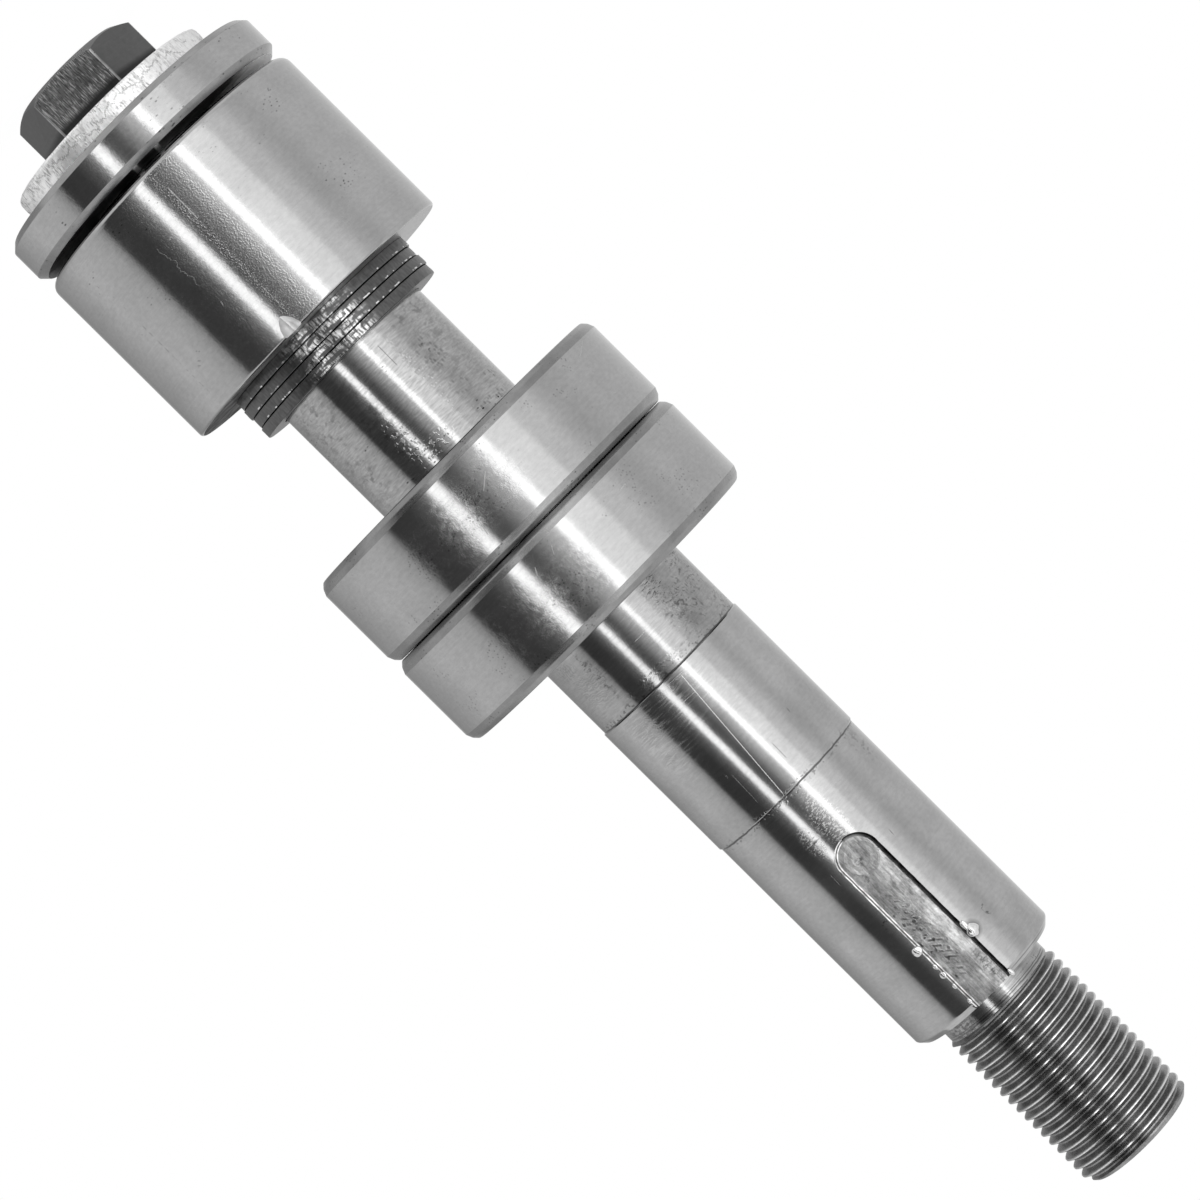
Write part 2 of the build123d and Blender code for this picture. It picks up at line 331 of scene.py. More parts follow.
# ================================================================ materials
class Graph:
    """A material whose nodes are added one call at a time, round one Principled shader."""

    def __init__(self, name, **constants):
        self.material = bpy.data.materials.new(name)
        self.material.use_nodes = True
        self.tree = self.material.node_tree
        self.shader = self.tree.nodes["Principled BSDF"]
        for socket, value in constants.items():
            self.shader.inputs[socket.replace("_", " ")].default_value = value
        self.place = self.add("ShaderNodeTexCoord").outputs["Object"]
        self.polar = None

    def add(self, kind, inputs=(), **settings):
        """A node: inputs are (socket, number, colour or output to link) pairs."""
        made = self.tree.nodes.new(kind)
        for setting, value in settings.items():
            setattr(made, setting, value)
        for socket, value in inputs:
            self.plug(made.inputs[socket], value)
        return made

    def plug(self, socket, value):
        if isinstance(value, bpy.types.NodeSocket):
            self.tree.links.new(value, socket)
        else:
            socket.default_value = value

    def math(self, operation, first, second=0.0):
        made = self.add("ShaderNodeMath", [(0, first), (1, second)], operation=operation)
        return made.outputs[0]

    def plus(self, first, second):
        return self.math("ADD", first, second)

    def minus(self, first, second):
        return self.math("SUBTRACT", first, second)

    def both(self, *masks):
        """Where all of several masks are: their product."""
        whole = masks[0]
        for mask in masks[1:]:
            whole = self.math("MULTIPLY", whole, mask)
        return whole

    def either(self, *masks):
        """Where any of several masks is: the largest of them."""
        whole = masks[0]
        for mask in masks[1:]:
            whole = self.math("MAXIMUM", whole, mask)
        return whole

    def fit(self, value, low, high, to_low=0.0, to_high=1.0):
        """Maps low..high to to_low..to_high, and holds the ends."""
        sockets = enumerate((value, low, high, to_low, to_high))
        return self.add("ShaderNodeMapRange", sockets).outputs[0]

    def near(self, value, middle, far, close, most=1.0):
        """Rises from 0 to its most as a value comes from far to close to a middle."""
        return self.fit(self.math("ABSOLUTE", self.minus(value, middle)), far, close, 0.0, most)

    def mixed(self, factor, first, second):
        """A grey between two greys."""
        return self.plus(self.both(factor, self.minus(second, first)), first)

    def stretched(self, across, up):
        """Object coordinates for marks of a size in millimetres across the axis and along it."""
        scale = (1 / (across * MM), 1 / (across * MM), 1 / (up * MM))
        made = self.add("ShaderNodeVectorMath", [(0, self.place), (1, scale)], operation="MULTIPLY")
        return made.outputs[0]

    def cloud(self, across, up=None, detail=2.0, roughness=0.5, seed=0.0):
        """Noise from 0 to 1 with marks of that size."""
        made = self.add(
            "ShaderNodeTexNoise",
            [
                ("Vector", self.stretched(across, up or across)),
                ("W", seed),
                ("Scale", 1.0),
                ("Detail", detail),
                ("Roughness", roughness),
            ],
            noise_dimensions="4D",
        )
        return made.outputs["Fac"]

    def blots(self, low, high, *size, **character):
        """Blots of a size: 0 where the noise is under the low level and 1 over the high one."""
        return self.fit(self.cloud(*size, **character), low, high)

    def spots(self, across, up, size):
        """Scattered spots: 1 in the middle of each and 0 beyond its size."""
        inputs = [("Vector", self.stretched(across, up)), ("Scale", 1.0)]
        made = self.add("ShaderNodeTexVoronoi", inputs)
        return self.fit(made.outputs["Distance"], size, size * 0.5)

    def around(self):
        """Angle round the axis in degrees from -Y towards +X, and height in millimetres."""
        if self.polar is None:
            axes = self.add("ShaderNodeSeparateXYZ", [(0, self.place)])
            angle = self.math("ARCTAN2", axes.outputs["X"], self.both(axes.outputs["Y"], -1.0))
            self.polar = self.both(angle, 360 / TURN), self.math("DIVIDE", axes.outputs["Z"], MM)
        return self.polar

    def radius(self):
        """Distance from the axis, in millimetres."""
        flat = [(0, self.place), (1, (1 / MM, 1 / MM, 0.0))]
        flat = self.add("ShaderNodeVectorMath", flat, operation="MULTIPLY").outputs[0]
        return self.add("ShaderNodeVectorMath", [(0, flat)], operation="LENGTH").outputs["Value"]

    def offset(self, radius, angle, height):
        """How far a point of a cylinder lies from a place on it, round and up, in millimetres."""
        turn, rise = self.around()
        return self.both(self.minus(turn, angle), radius * TURN / 360), self.minus(rise, height)

    def hairs(self, radius, base, *lines):
        """Hairline scratches: the angle and rise above the base of both ends of each, and its width."""
        scratches = []
        for angle, rise, end_angle, end_rise, width in lines:
            run = Vector(((end_angle - angle) * radius * TURN / 360, end_rise - rise))
            way = run.normalized()
            half = run.length / 2
            arc, up = self.offset(radius, (angle + end_angle) / 2, base + (rise + end_rise) / 2)
            beside = self.minus(self.both(arc, way.y), self.both(up, way.x))
            onward = self.plus(self.both(arc, way.x), self.both(up, way.y))
            line = self.near(beside, 0.0, width, width / 2)
            scratches.append(self.both(line, self.near(onward, 0.0, half, half - 0.4)))
        return self.either(*scratches)

    def patches(self, radius, base, *places):
        """Soft-edged ovals: the angle of each, its rise above the base, its half sizes round and up
        and, where it is faint, its strength."""
        ovals = []
        for angle, rise, across, tall, *strength in places:
            arc, up = self.offset(radius, angle, base + rise)
            arc = self.math("DIVIDE", arc, across)
            up = self.math("DIVIDE", up, tall)
            far = self.plus(self.both(arc, arc), self.both(up, up))
            ovals.append(self.both(self.fit(far, 1.0, 0.2), *strength))
        return self.either(*ovals)

    def hoop(self, height, width, waver=0.1, seed=0.0):
        """1 on a wavering line round the piece at a height."""
        drift = self.fit(self.cloud(1.3, 40.0, seed=seed), 0.3, 0.7, -waver, waver)
        return self.near(self.plus(self.around()[1], drift), height, width, width * 0.4)

    def ripples(self, radius, base, place, slant, spacing, seed=0.0):
        """Wavering ridges that run at a slant in degrees from straight round the piece."""
        arc, up = self.offset(radius, place[0], base + place[1])
        lean = math.radians(slant)
        run = self.plus(self.both(arc, math.sin(lean)), self.both(up, math.cos(lean)))
        drift = self.fit(self.cloud(1.2, seed=seed), 0.3, 0.7, -spacing, spacing)
        turns = self.both(self.plus(run, drift), TURN / spacing)
        return self.fit(self.math("SINE", turns), -0.5, 0.8)

    def bump(self, height, depth, below=None):
        """Bump of a depth in millimetres, over what is below it."""
        inputs = [("Height", height), ("Distance", depth * MM), ("Strength", 1.0)]
        if below is not None:
            inputs.append(("Normal", below))
        return self.add("ShaderNodeBump", inputs).outputs["Normal"]

    def finish(self, grey, roughness, normal=None):
        colours = [("Red", grey), ("Green", grey), ("Blue", grey)]
        tint = self.add("ShaderNodeCombineColor", colours).outputs[0]
        self.plug(self.shader.inputs["Base Color"], tint)
        self.plug(self.shader.inputs["Roughness"], roughness)
        if normal is not None:
            self.plug(self.shader.inputs["Normal"], normal)
        return self.material


def steel(
    name, grey, roughness, stain=0.1, lines=0.0004, line_size=(14.0, 0.16), grain=0.0012,
    grain_size=0.3, pits=0.0, pit_size=1.2, marks=None, scuff=1.2, line_tone=0.04,
):
    """Bare machined steel: soft stains, lines round the axis, a fine grain and dark pits.

    The marks give where the surface is scuffed and where it is darkened, by stains and in places by
    painted shade, and a height in dents."""
    graph = Graph(name, Metallic=1.0)
    soft = graph.cloud(7.0, detail=3.0)
    fine = graph.cloud(0.9, 0.5, seed=3.0)
    turning = graph.cloud(*line_size, detail=1.0, seed=7.0)
    speck = graph.cloud(grain_size, roughness=0.6, seed=11.0)
    swell = graph.cloud(grain_size * 4, detail=1.0, seed=13.0)
    value = graph.mixed(graph.fit(soft, 0.3, 0.7), grey * (1 - stain), grey * (1 + stain))
    value = graph.both(value, graph.fit(fine, 0.3, 0.7, 0.94, 1.06))
    value = graph.both(value, graph.fit(turning, 0.2, 0.8, 1 - line_tone, 1 + line_tone))
    if pits:
        pit = graph.spots(pit_size, pit_size * 0.5, 0.22)
        where = graph.blots(0.62 - pits, 0.7 - pits, 6.0, seed=5.0)
        value = graph.mixed(graph.both(pit, where), value, grey * 0.2)
    rough = graph.fit(soft, 0.3, 0.7, roughness * 0.85, roughness * 1.2)
    normal = graph.bump(turning, lines)
    normal = graph.bump(speck, grain, normal)
    normal = graph.bump(swell, grain * 1.5, normal)
    if marks:
        scuffed, darkened, dents = marks(graph)
        rough = graph.mixed(scuffed, rough, 0.5)
        value = graph.mixed(scuffed, value, grey * scuff)
        # Darkened by stains, and on the bolt and the keyed seat by painted shade too.
        value = graph.mixed(darkened, value, grey * 0.2)
        normal = graph.bump(dents, 0.02, normal)
    return graph.finish(value, rough, normal)


def ground_marks(graph):
    """Hairlines on the journal, scuffs on the keyed seat, dark lines where it steps down, and a painted
    shadow round the foot of the big burr by the keyway.
    """
    r = seat_radius
    long_hair = graph.hairs(r, journal_end, (-2.5, 0.9 - journal_length, 5.3, -0.3, 0.07))
    faint = graph.either(
        graph.hairs(r, journal_end, (19.3, -7.3, 20.2, -1.8, 0.07), (22.4, -7.9, 22.6, -6.9, 0.09)),
        graph.hairs(r, relief_end, (-5.0, 0.9, 9.0, 0.8, 0.05), (-3.0, 4.0, 9.0, 3.9, 0.05)),
        graph.hairs(r, keyway_start, (20.8, 2.3, 21.2, 4.5, 0.06)),
    )
    smears = graph.blots(0.46, 0.7, 2.4, 0.3, detail=3.0, roughness=0.6, seed=39.0)
    dulled = graph.patches(r, relief_end, (34.0, 5.0, 5.0, 9.0, 0.45), (9.0, 3.0, 6.0, 6.0, 0.3))
    hatch = graph.blots(0.5, 0.58, 0.5, 0.28, roughness=0.7, seed=23.0)
    scuffed = graph.both(hatch, graph.either(
        graph.patches(r, journal_end, (-3.0, 6.5, 2.4, 5.6), (14.0, 7.2, 1.6, 3.2)),
        graph.patches(r, relief_end, (4.0, 1.2, 3.4, 1.0, 0.5)),
    ))
    bright = graph.either(
        long_hair, graph.both(faint, 0.45), graph.both(smears, dulled), graph.both(scuffed, 0.7)
    )
    dark_hairs = graph.either(
        graph.hairs(r, journal_end, (-12.0, -6.4, -11.7, -3.4, 0.06), (-35.6, -8.2, -35.2, -7.2, 0.09)),
        graph.hairs(r, keyway_start, (-26.0, 3.6, -25.6, 4.8, 0.08)),
        graph.both(
            graph.hoop(drive_end - 0.55, 0.12, 0.03, seed=35.0),
            graph.fit(graph.around()[0], -15.0, -24.0),
        ),
    )
    chips = graph.both(
        graph.blots(0.56, 0.62, 0.7, 0.5, seed=29.0), graph.hoop(journal_end + 0.1, 0.85, 0.2, seed=31.0)
    )
    ripple = graph.both(
        graph.ripples(r, relief_end, (40.0, 4.0), 4.0, 0.42, seed=41.0),
        graph.patches(r, relief_end, (40.0, 3.6, 3.0, 2.4), (43.0, 8.4, 2.2, 1.5)),
    )
    smudge = graph.both(graph.blots(0.54, 0.6, 0.9, 0.5, detail=3.0, seed=37.0), graph.either(
        graph.patches(r, journal_end, (12.6, 7.6, 0.8, 0.7), (-62.0, 3.0, 2.6, 3.0, 0.35)),
        graph.patches(drive_radius, drive_end, (18.0, -17.0, 0.9, 1.1), (-34.0, -8.6, 0.5, 1.2, 0.8)),
    ))
    dimmed = graph.both(
        graph.fit(smears, 0.0, 1.0, 0.4, 1.0), graph.patches(r, journal_end, (21.8, -2.0, 3.4, 15.0, 0.3))
    )
    darkened = graph.either(
        graph.both(dark_hairs, 0.6),
        graph.both(ripple, 0.14),
        graph.both(chips, 0.5),
        graph.both(graph.hoop(journal_end + 0.06, 0.17, 0.07, seed=33.0), 0.9),
        # Painted shadow round the foot of the big burr beside the keyway.
        graph.patches(drive_radius, drive_end, (-17.4, -8.1, 1.7, 1.6, 0.75)),
        smudge,
        dimmed,
    )
    return bright, darkened, graph.minus(graph.both(ripple, 0.4), chips)


def worn_marks(graph):
    """Bruises like worm tracks either side of the relief, and a dark, nicked line at its end."""
    r = relief_radius
    tracks = graph.both(graph.blots(0.47, 0.6, 0.8, 0.36, seed=21.0), graph.either(
        graph.patches(
            r, bearings_end, (-30.0, 5.0, 2.6, 7.0), (-64.0, 3.5, 4.2, 4.4), (38.0, 5.0, 1.0, 5.0)
        ),
        graph.patches(r, relief_end, (-72.0, -2.0, 5.0, 2.6), (5.0, -1.6, 9.0, 0.9, 0.5)),
    ))
    slanted = graph.both(
        graph.ripples(r, bearings_end, (-41.0, 6.0), 58.0, 0.66, seed=44.0),
        graph.patches(r, bearings_end, (-43.0, 6.2, 5.0, 4.2)),
    )
    combed = graph.either(
        graph.both(
            graph.ripples(r, bearings_end, (48.0, 5.5), 12.0, 0.4, seed=45.0),
            graph.patches(r, bearings_end, (49.0, 6.0, 3.4, 3.4)),
        ),
        graph.both(
            graph.ripples(r, bearings_end, (56.0, 1.8), 80.0, 0.5, seed=46.0),
            graph.patches(r, bearings_end, (56.0, 2.0, 3.0, 1.6)),
        ),
    )
    tracks = graph.either(tracks, slanted)
    haze = graph.blots(0.4, 0.64, 2.2, detail=4.0, roughness=0.6, seed=48.0)
    nicks = graph.blots(0.54, 0.6, 0.6, 0.5, seed=53.0)
    darkened = graph.either(
        graph.both(tracks, graph.blots(0.44, 0.6, 0.8, 0.5, seed=43.0), 0.75),
        graph.both(combed, 0.22),
        graph.both(haze, graph.fit(graph.around()[0], -20.0, -34.0, 0.0, 0.3)),
        graph.both(graph.hoop(relief_end - 0.08, 0.16, 0.08, seed=47.0), 0.9),
        graph.both(graph.hoop(relief_end - 0.4, 0.7, 0.3, seed=49.0), nicks, 0.6),
    )
    scratch = graph.hairs(r, bearings_end, (-6.0, 5.3, 3.7, 5.3, 0.06))
    return scratch, darkened, graph.either(tracks, graph.both(combed, 0.7))


def neck_marks(graph):
    """Dark lines where the thread runs out, and oily smudges on the far side."""
    smudge = graph.both(
        graph.blots(0.46, 0.56, 0.6, 0.4, detail=4.0, roughness=0.7, seed=58.0),
        graph.patches(neck_radius, thread_start, (52.0, -1.0, 4.0, 1.8)),
    )
    darkened = graph.either(
        graph.hoop(thread_start - 0.75, 0.09, 0.03, seed=55.0),
        graph.hoop(thread_start - 0.4, 0.14, 0.05, seed=56.0),
        smudge,
    )
    return 0.0, graph.both(darkened, 0.75), smudge


def seat_marks(graph):
    """Rows of dots and smudges on the bare seat, with a short scratch."""
    r = seat_radius
    dots = graph.both(graph.spots(0.62, 0.8, 0.5), graph.either(
        graph.patches(
            r, shims_end, (-38.0, 7.6, 3.2, 3.6), (-36.0, 13.4, 2.0, 1.8), (-64.0, 15.2, 2.2, 1.2)
        ),
        graph.patches(r, bearings_start, (-46.0, -1.2, 5.0, 0.9)),
    ))
    smudge = graph.both(
        graph.blots(0.5, 0.62, 1.4, 1.0, detail=4.0, roughness=0.65, seed=57.0),
        graph.patches(
            r, shims_end, (-52.0, 1.8, 6.5, 1.8), (-46.0, 8.0, 6.5, 7.0, 0.6), (52.0, 4.0, 5.0, 6.0),
            (58.0, 14.0, 4.0, 5.0), (18.0, 10.0, 2.6, 9.0),
        ),
    )
    pocks = graph.both(graph.blots(0.54, 0.64, 0.55, detail=1.0, seed=61.0), graph.either(
        graph.patches(r, bearings_start, (2.0, -2.2, 3.6, 1.6), (17.0, -5.0, 1.8, 5.0)),
        graph.patches(r, shims_end, (-22.0, 9.0, 1.2, 8.0)),
    ))
    scratch = graph.hairs(r, shims_end, (-14.8, 2.0, -14.6, 6.0, 0.08))
    darkened = graph.either(graph.both(dots, 0.5), graph.both(smudge, 0.5), graph.both(scratch, 0.7))
    return graph.both(pocks, 0.4), darkened, graph.either(pocks, dots)


def sleeve_marks(graph):
    """Fine pocks between the bright bands, a meandering scratch and a few short ones."""
    r = sleeve_radius
    turn, rise = graph.around()
    hairs = graph.either(
        graph.hairs(r, sleeve_start, (3.9, 3.9, 4.1, 9.7, 0.1), (14.6, 8.6, 16.4, 8.9, 0.1)),
        graph.hairs(r, sleeve_end, (18.7, -9.8, 19.4, -8.8, 0.09)),
    )
    pocks = graph.both(graph.blots(0.44, 0.62, 0.26, seed=67.0), graph.either(
        graph.near(turn, 1.0, 6.4, 4.0),
        graph.near(turn, 21.0, 7.0, 3.0, most=0.5),
        graph.patches(r, sleeve_end, (-40.0, -5.0, 5.0, 6.0, 0.6)),
    ))
    drift = graph.cloud(60.0, 3.0, detail=4.0, roughness=0.6, seed=69.0)
    meander = graph.both(
        graph.near(turn, graph.fit(drift, 0.3, 0.7, 18.6, 23.4), 0.34, 0.12),
        graph.near(rise, sleeve_start + 12.0, 4.2, 3.4),
    )
    dashes = graph.both(
        graph.hairs(r, sleeve_start, (49.2, 8.0, 49.2, sleeve_end - sleeve_start - 2.0, 0.07)),
        graph.blots(0.5, 0.56, 0.4, 0.9, seed=70.0),
    )
    haze = graph.both(
        graph.blots(0.46, 0.64, 0.6, detail=4.0, roughness=0.7, seed=72.0),
        graph.near(turn, 21.0, 9.0, 6.0, most=0.16),
    )
    bright = graph.either(hairs, graph.both(meander, 0.5), haze)
    return bright, graph.both(dashes, 0.6), graph.both(pocks, 0.4)


def ring_marks(graph):
    """Hairlines and faint handling marks on the bearings' outsides."""
    hairs = graph.hairs(
        bearing_radius, 0.0, (-63.0, -13.2, -54.0, -11.6, 0.08), (-3.4, -9.9, 1.6, -8.0, 0.06),
        (-55.0, -5.0, -52.4, -5.1, 0.07), (-18.6, -3.4, -16.4, -3.1, 0.08), (8.6, -5.6, 9.4, -3.6, 0.06),
        (6.4, 3.6, 8.0, 4.8, 0.06), (-1.6, 3.0, 0.2, 4.4, 0.04), (-31.0, 4.4, -28.0, 4.5, 0.07),
    )
    haze = graph.both(
        graph.blots(0.44, 0.64, 1.1, detail=5.0, roughness=0.75, seed=71.0),
        graph.patches(
            bearing_radius, 0.0, (-1.0, -8.0, 6.0, 6.0), (20.0, -7.0, 6.5, 7.0), (0.0, 8.0, 5.0, 6.0),
            (20.0, 8.0, 6.5, 7.0),
        ),
    )
    dots = graph.both(graph.spots(0.5, 0.5, 0.3), graph.blots(0.56, 0.62, 4.0, seed=73.0))
    return graph.either(hairs, graph.both(haze, 0.28)), graph.both(dots, 0.5), graph.both(haze, 0.3)


def bolt_marks(graph):
    """Short bright scratches along the wrench flats, thickest towards the washer and the top, and painted
    shade on the flats next to the washer.
    """
    turn, rise = graph.around()
    worn = graph.either(
        graph.fit(graph.cloud(1.6, 1.0, detail=3.0, seed=83.0), 0.46, 0.6, 0.05, 0.85),
        graph.fit(rise, washer_start - 4.2, washer_start - 3.2),
        graph.fit(rise, head_start + 2.4, head_start + 1.2),
        graph.fit(turn, 20.0, 30.0),
    )
    front = graph.both(graph.near(turn, head_turn, 30.4, 29.4), graph.fit(graph.radius(), 8.9, 9.2))
    strokes = graph.blots(0.5, 0.59, 0.15, 1.6, detail=3.0, roughness=0.6, seed=79.0)
    marked = graph.both(strokes, worn, front)
    lows = graph.both(graph.blots(0.52, 0.6, 0.16, 1.1, seed=81.0), front, 0.6)
    # Painted shade: the flats darken over about the last millimetre before the washer.
    shade = graph.fit(rise, washer_start - 2.3, washer_start - 1.5, 0.0, 0.9)
    return graph.both(marked, graph.minus(1.0, shade)), graph.either(lows, shade), marked


def washer_marks(graph):
    """An irregular crack round the rim, and dark pits in the scale."""
    drift = graph.cloud(2.6, 60.0, detail=5.0, roughness=0.7, seed=89.0)
    rise = graph.plus(graph.around()[1], graph.fit(drift, 0.3, 0.7, -1.0, 1.6))
    crack = graph.both(
        graph.near(rise, (washer_start + washer_end) / 2, 0.15, 0.05),
        graph.blots(0.38, 0.44, 3.0, seed=97.0),
    )
    scale = graph.both(
        graph.blots(0.52, 0.66, 0.5, 0.9, detail=4.0, roughness=0.7, seed=101.0),
        graph.blots(0.4, 0.6, 4.0, 2.0, seed=103.0),
    )
    hatch = graph.both(
        graph.blots(0.48, 0.6, 0.26, 1.2, detail=3.0, roughness=0.6, seed=105.0),
        graph.fit(graph.cloud(1.8, 1.2, seed=106.0), 0.4, 0.6, 0.1, 1.0),
    )
    darkened = graph.either(graph.both(crack, 0.6), graph.both(scale, 0.5), graph.both(hatch, 0.7))
    return 0.0, darkened, graph.either(scale, hatch)


def shim_steel():
    """Dark stamped steel, streaked along the axis where the punch sheared it, with its torn band painted
    bright round the front as a painted sheen.
    """
    graph = Graph("shim_steel", Metallic=1.0)
    streak = graph.cloud(0.32, 1.2, detail=3.0, roughness=0.6, seed=107.0)
    band = graph.cloud(2.4, 0.6, seed=109.0)
    # The torn band is painted bright only within about 25 degrees of the front, where the highlights
    # fall: painted sheen over the real tear.
    torn = graph.both(graph.fit(band, 0.45, 0.53), graph.near(graph.around()[0], 2.0, 25.0, 17.0))
    edge = graph.either(*(
        graph.hoop(sleeve_end + shim_pitch * number - 0.28, 0.12, 0.04, seed=float(number))
        for number in range(1, shim_count)
    ))
    fleck = graph.both(edge, graph.blots(0.55, 0.6, 1.1, 4.0, seed=113.0))
    bright = graph.either(graph.both(torn, graph.fit(streak, 0.42, 0.6)), fleck)
    grey = graph.mixed(bright, graph.fit(streak, 0.3, 0.7, 0.075, 0.15), 0.75)
    normal = graph.bump(band, 0.03, graph.bump(streak, 0.012))
    return graph.finish(grey, graph.mixed(torn, 0.36, 0.24), normal)


def keyway_steel():
    """A milled floor: swirled and streaked lengthwise, with slanted ridges near its open end."""
    graph = Graph("keyway_steel", Metallic=1.0)
    r = drive_radius
    streak = graph.cloud(0.2, 2.6, detail=4.0, roughness=0.65, seed=113.0)
    swirl = graph.cloud(1.3, 2.6, detail=5.0, roughness=0.65, seed=127.0)
    speck = graph.cloud(0.35, seed=131.0)
    turn, rise = graph.around()
    wave = graph.math("SINE", graph.both(graph.plus(graph.both(turn, 0.16), rise), TURN / 1.05))
    ridges = graph.both(
        graph.fit(wave, 0.0, 0.8),
        graph.blots(0.44, 0.56, 0.8, 1.6, seed=137.0),
        graph.patches(r, drive_end, (4.5, -11.5, 1.5, 9.5)),
    )
    smear = graph.both(
        graph.blots(0.46, 0.6, 0.7, 0.4, detail=4.0, roughness=0.7, seed=167.0),
        graph.either(
            graph.patches(r, keyway_centre, (2.0, 0.6, 0.9, 0.9)),
            graph.patches(r, keyway_start, (7.4, 6.3, 0.5, 0.9), (1.2, 14.6, 0.9, 1.3)),
            graph.patches(r, drive_end, (-10.0, -3.0, 1.2, 4.0)),
        ),
    )
    pits = graph.both(
        graph.spots(0.9, 1.1, 0.34),
        graph.patches(r, drive_end, (4.0, -12.0, 2.0, 8.0), (12.0, -10.0, 0.9, 10.0)),
        graph.blots(0.44, 0.52, 1.0, seed=139.0),
    )
    grey = graph.both(
        graph.fit(swirl, 0.34, 0.66, 0.2, 0.56),
        graph.fit(streak, 0.32, 0.68, 0.66, 1.26),
        graph.fit(speck, 0.3, 0.7, 0.84, 1.14),
    )
    grey = graph.mixed(graph.both(ridges, 0.85), grey, 0.09)
    grey = graph.mixed(graph.both(graph.either(pits, smear), 0.8), grey, 0.05)
    normal = graph.bump(swirl, 0.07, graph.bump(streak, 0.012))
    normal = graph.bump(graph.either(ridges, pits), 0.05, normal)
    return graph.finish(grey, graph.fit(swirl, 0.3, 0.7, 0.42, 0.3), normal)


def foot_steel(name, dark, pale, rules, fade):
    """The sloped foot of the keyway's wall, ruled with a few lines along its length. Its greys are
    painted: dark for the shaded foot, pale for the lit one, from the floor's grey at its bottom.
    """
    graph = Graph(name, Metallic=1.0)
    axes = graph.add("ShaderNodeSeparateXYZ", [(0, graph.place)])
    rise = graph.math("DIVIDE", axes.outputs["Y"], -MM)
    climb = graph.fit(rise, keyway_floor, keyway_floor + 0.36)
    lines = graph.math("SINE", graph.both(climb, TURN * rules))
    worn = graph.cloud(0.5, 0.9, detail=3.0, seed=163.0)
    grey = graph.mixed(graph.fit(lines, -0.6, 0.8), dark, pale)
    grey = graph.mixed(graph.fit(climb, 0.0, fade), 0.34, grey)
    grey = graph.both(grey, graph.fit(worn, 0.35, 0.65, 0.5, 1.25))
    return graph.finish(grey, 0.3, graph.bump(worn, 0.004))


def thread_steel():
    """Turned thread: crests painted pale as a painted highlight, flanks and roots painted dark as painted
    shade, with stains and chatter.
    """
    graph = Graph("thread_steel", Metallic=1.0)
    chatter = graph.cloud(0.35, 0.2, detail=3.0, roughness=0.65, seed=149.0)
    stain = graph.cloud(2.4, 1.4, detail=3.0, seed=151.0)
    crest = graph.fit(graph.minus(thread_radius, graph.radius()), 0.2, 0.02)
    flank = graph.both(
        graph.fit(stain, 0.3, 0.7, 0.17, 0.34), graph.fit(chatter, 0.3, 0.7, 0.7, 1.3)
    )
    # Painted highlight on the crests, painted shade on the flanks and roots.
    grey = graph.mixed(crest, flank, graph.fit(chatter, 0.3, 0.7, 0.5, 0.9))
    rough = graph.mixed(crest, graph.fit(stain, 0.3, 0.7, 0.26, 0.38), 0.17)
    return graph.finish(grey, rough, graph.bump(chatter, 0.006))


def face_steel():
    """The sleeve's end face, with painted shade, dark and matt, on its far side."""
    graph = Graph("sleeve_face_steel", Specular_IOR_Level=0.0)
    mottle = graph.fit(graph.cloud(2.6, 6.0, detail=3.0, seed=68.0), 0.3, 0.7, 0.75, 1.0)
    # Painted shade: darkening from 20 degrees round towards +X, dark and matt beyond 50.
    shaded_side = graph.both(graph.fit(graph.around()[0], 20.0, 50.0), mottle)
    graph.plug(graph.shader.inputs["Metallic"], graph.minus(1.0, shaded_side))
    streak = graph.fit(graph.cloud(0.5, 4.0, detail=3.0, seed=68.5), 0.3, 0.7, 0.8, 1.2)
    return graph.finish(graph.both(streak, graph.mixed(shaded_side, 0.36, 0.07)), 0.3)


def painted_gap_shade():
    """Painted shade on the faces inside the gap beside the sleeve: near black, paler on one side, with
    two painted glints across the front.
    """
    graph = Graph("painted_gap_shade", Metallic=0.0)
    mottle = graph.cloud(2.0, detail=3.0)
    turn, _ = graph.around()
    axes = graph.add("ShaderNodeSeparateXYZ", [(0, graph.place)])
    across = graph.math("DIVIDE", axes.outputs["X"], MM)
    # Painted glints: two short bright bars across the front, standing for the lights seen on the shaft
    # deep in the gap.
    glints = graph.both(
        graph.near(turn, 0.0, 30.0, 29.0),
        graph.either(*(graph.near(across, beside, 0.5, 0.25) for beside in (-1.35, 2.65))),
    )
    ragged_turn = graph.plus(turn, graph.fit(mottle, 0.3, 0.7, -6.0, 6.0))
    # Paler between about -50 and -130 degrees round, ragged at its edges.
    paler_side = graph.both(graph.fit(ragged_turn, -46.0, -66.0), graph.fit(ragged_turn, -140.0, -95.0))
    # Near black everywhere else: painted shade.
    grey = graph.mixed(graph.either(glints, paler_side), graph.fit(mottle, 0.3, 0.7, 0.006, 0.018), 0.8)
    return graph.finish(grey, graph.fit(mottle, 0.3, 0.7, 0.4, 0.6))


def rubber():
    graph = Graph("seal_rubber", Metallic=0.0)
    dust = graph.cloud(3.0, detail=4.0)
    grain = graph.cloud(0.2, seed=2.0)
    grey = graph.fit(dust, 0.3, 0.8, 0.012, 0.03)
    return graph.finish(grey, graph.fit(dust, 0.3, 0.7, 0.45, 0.6), graph.bump(grain, 0.002))


def polyamide():
    graph = Graph("cage_polyamide", Metallic=0.0)
    flow = graph.cloud(4.0, 1.0, detail=3.0)
    return graph.finish(graph.fit(flow, 0.3, 0.7, 0.3, 0.36), 0.45, graph.bump(flow, 0.01))


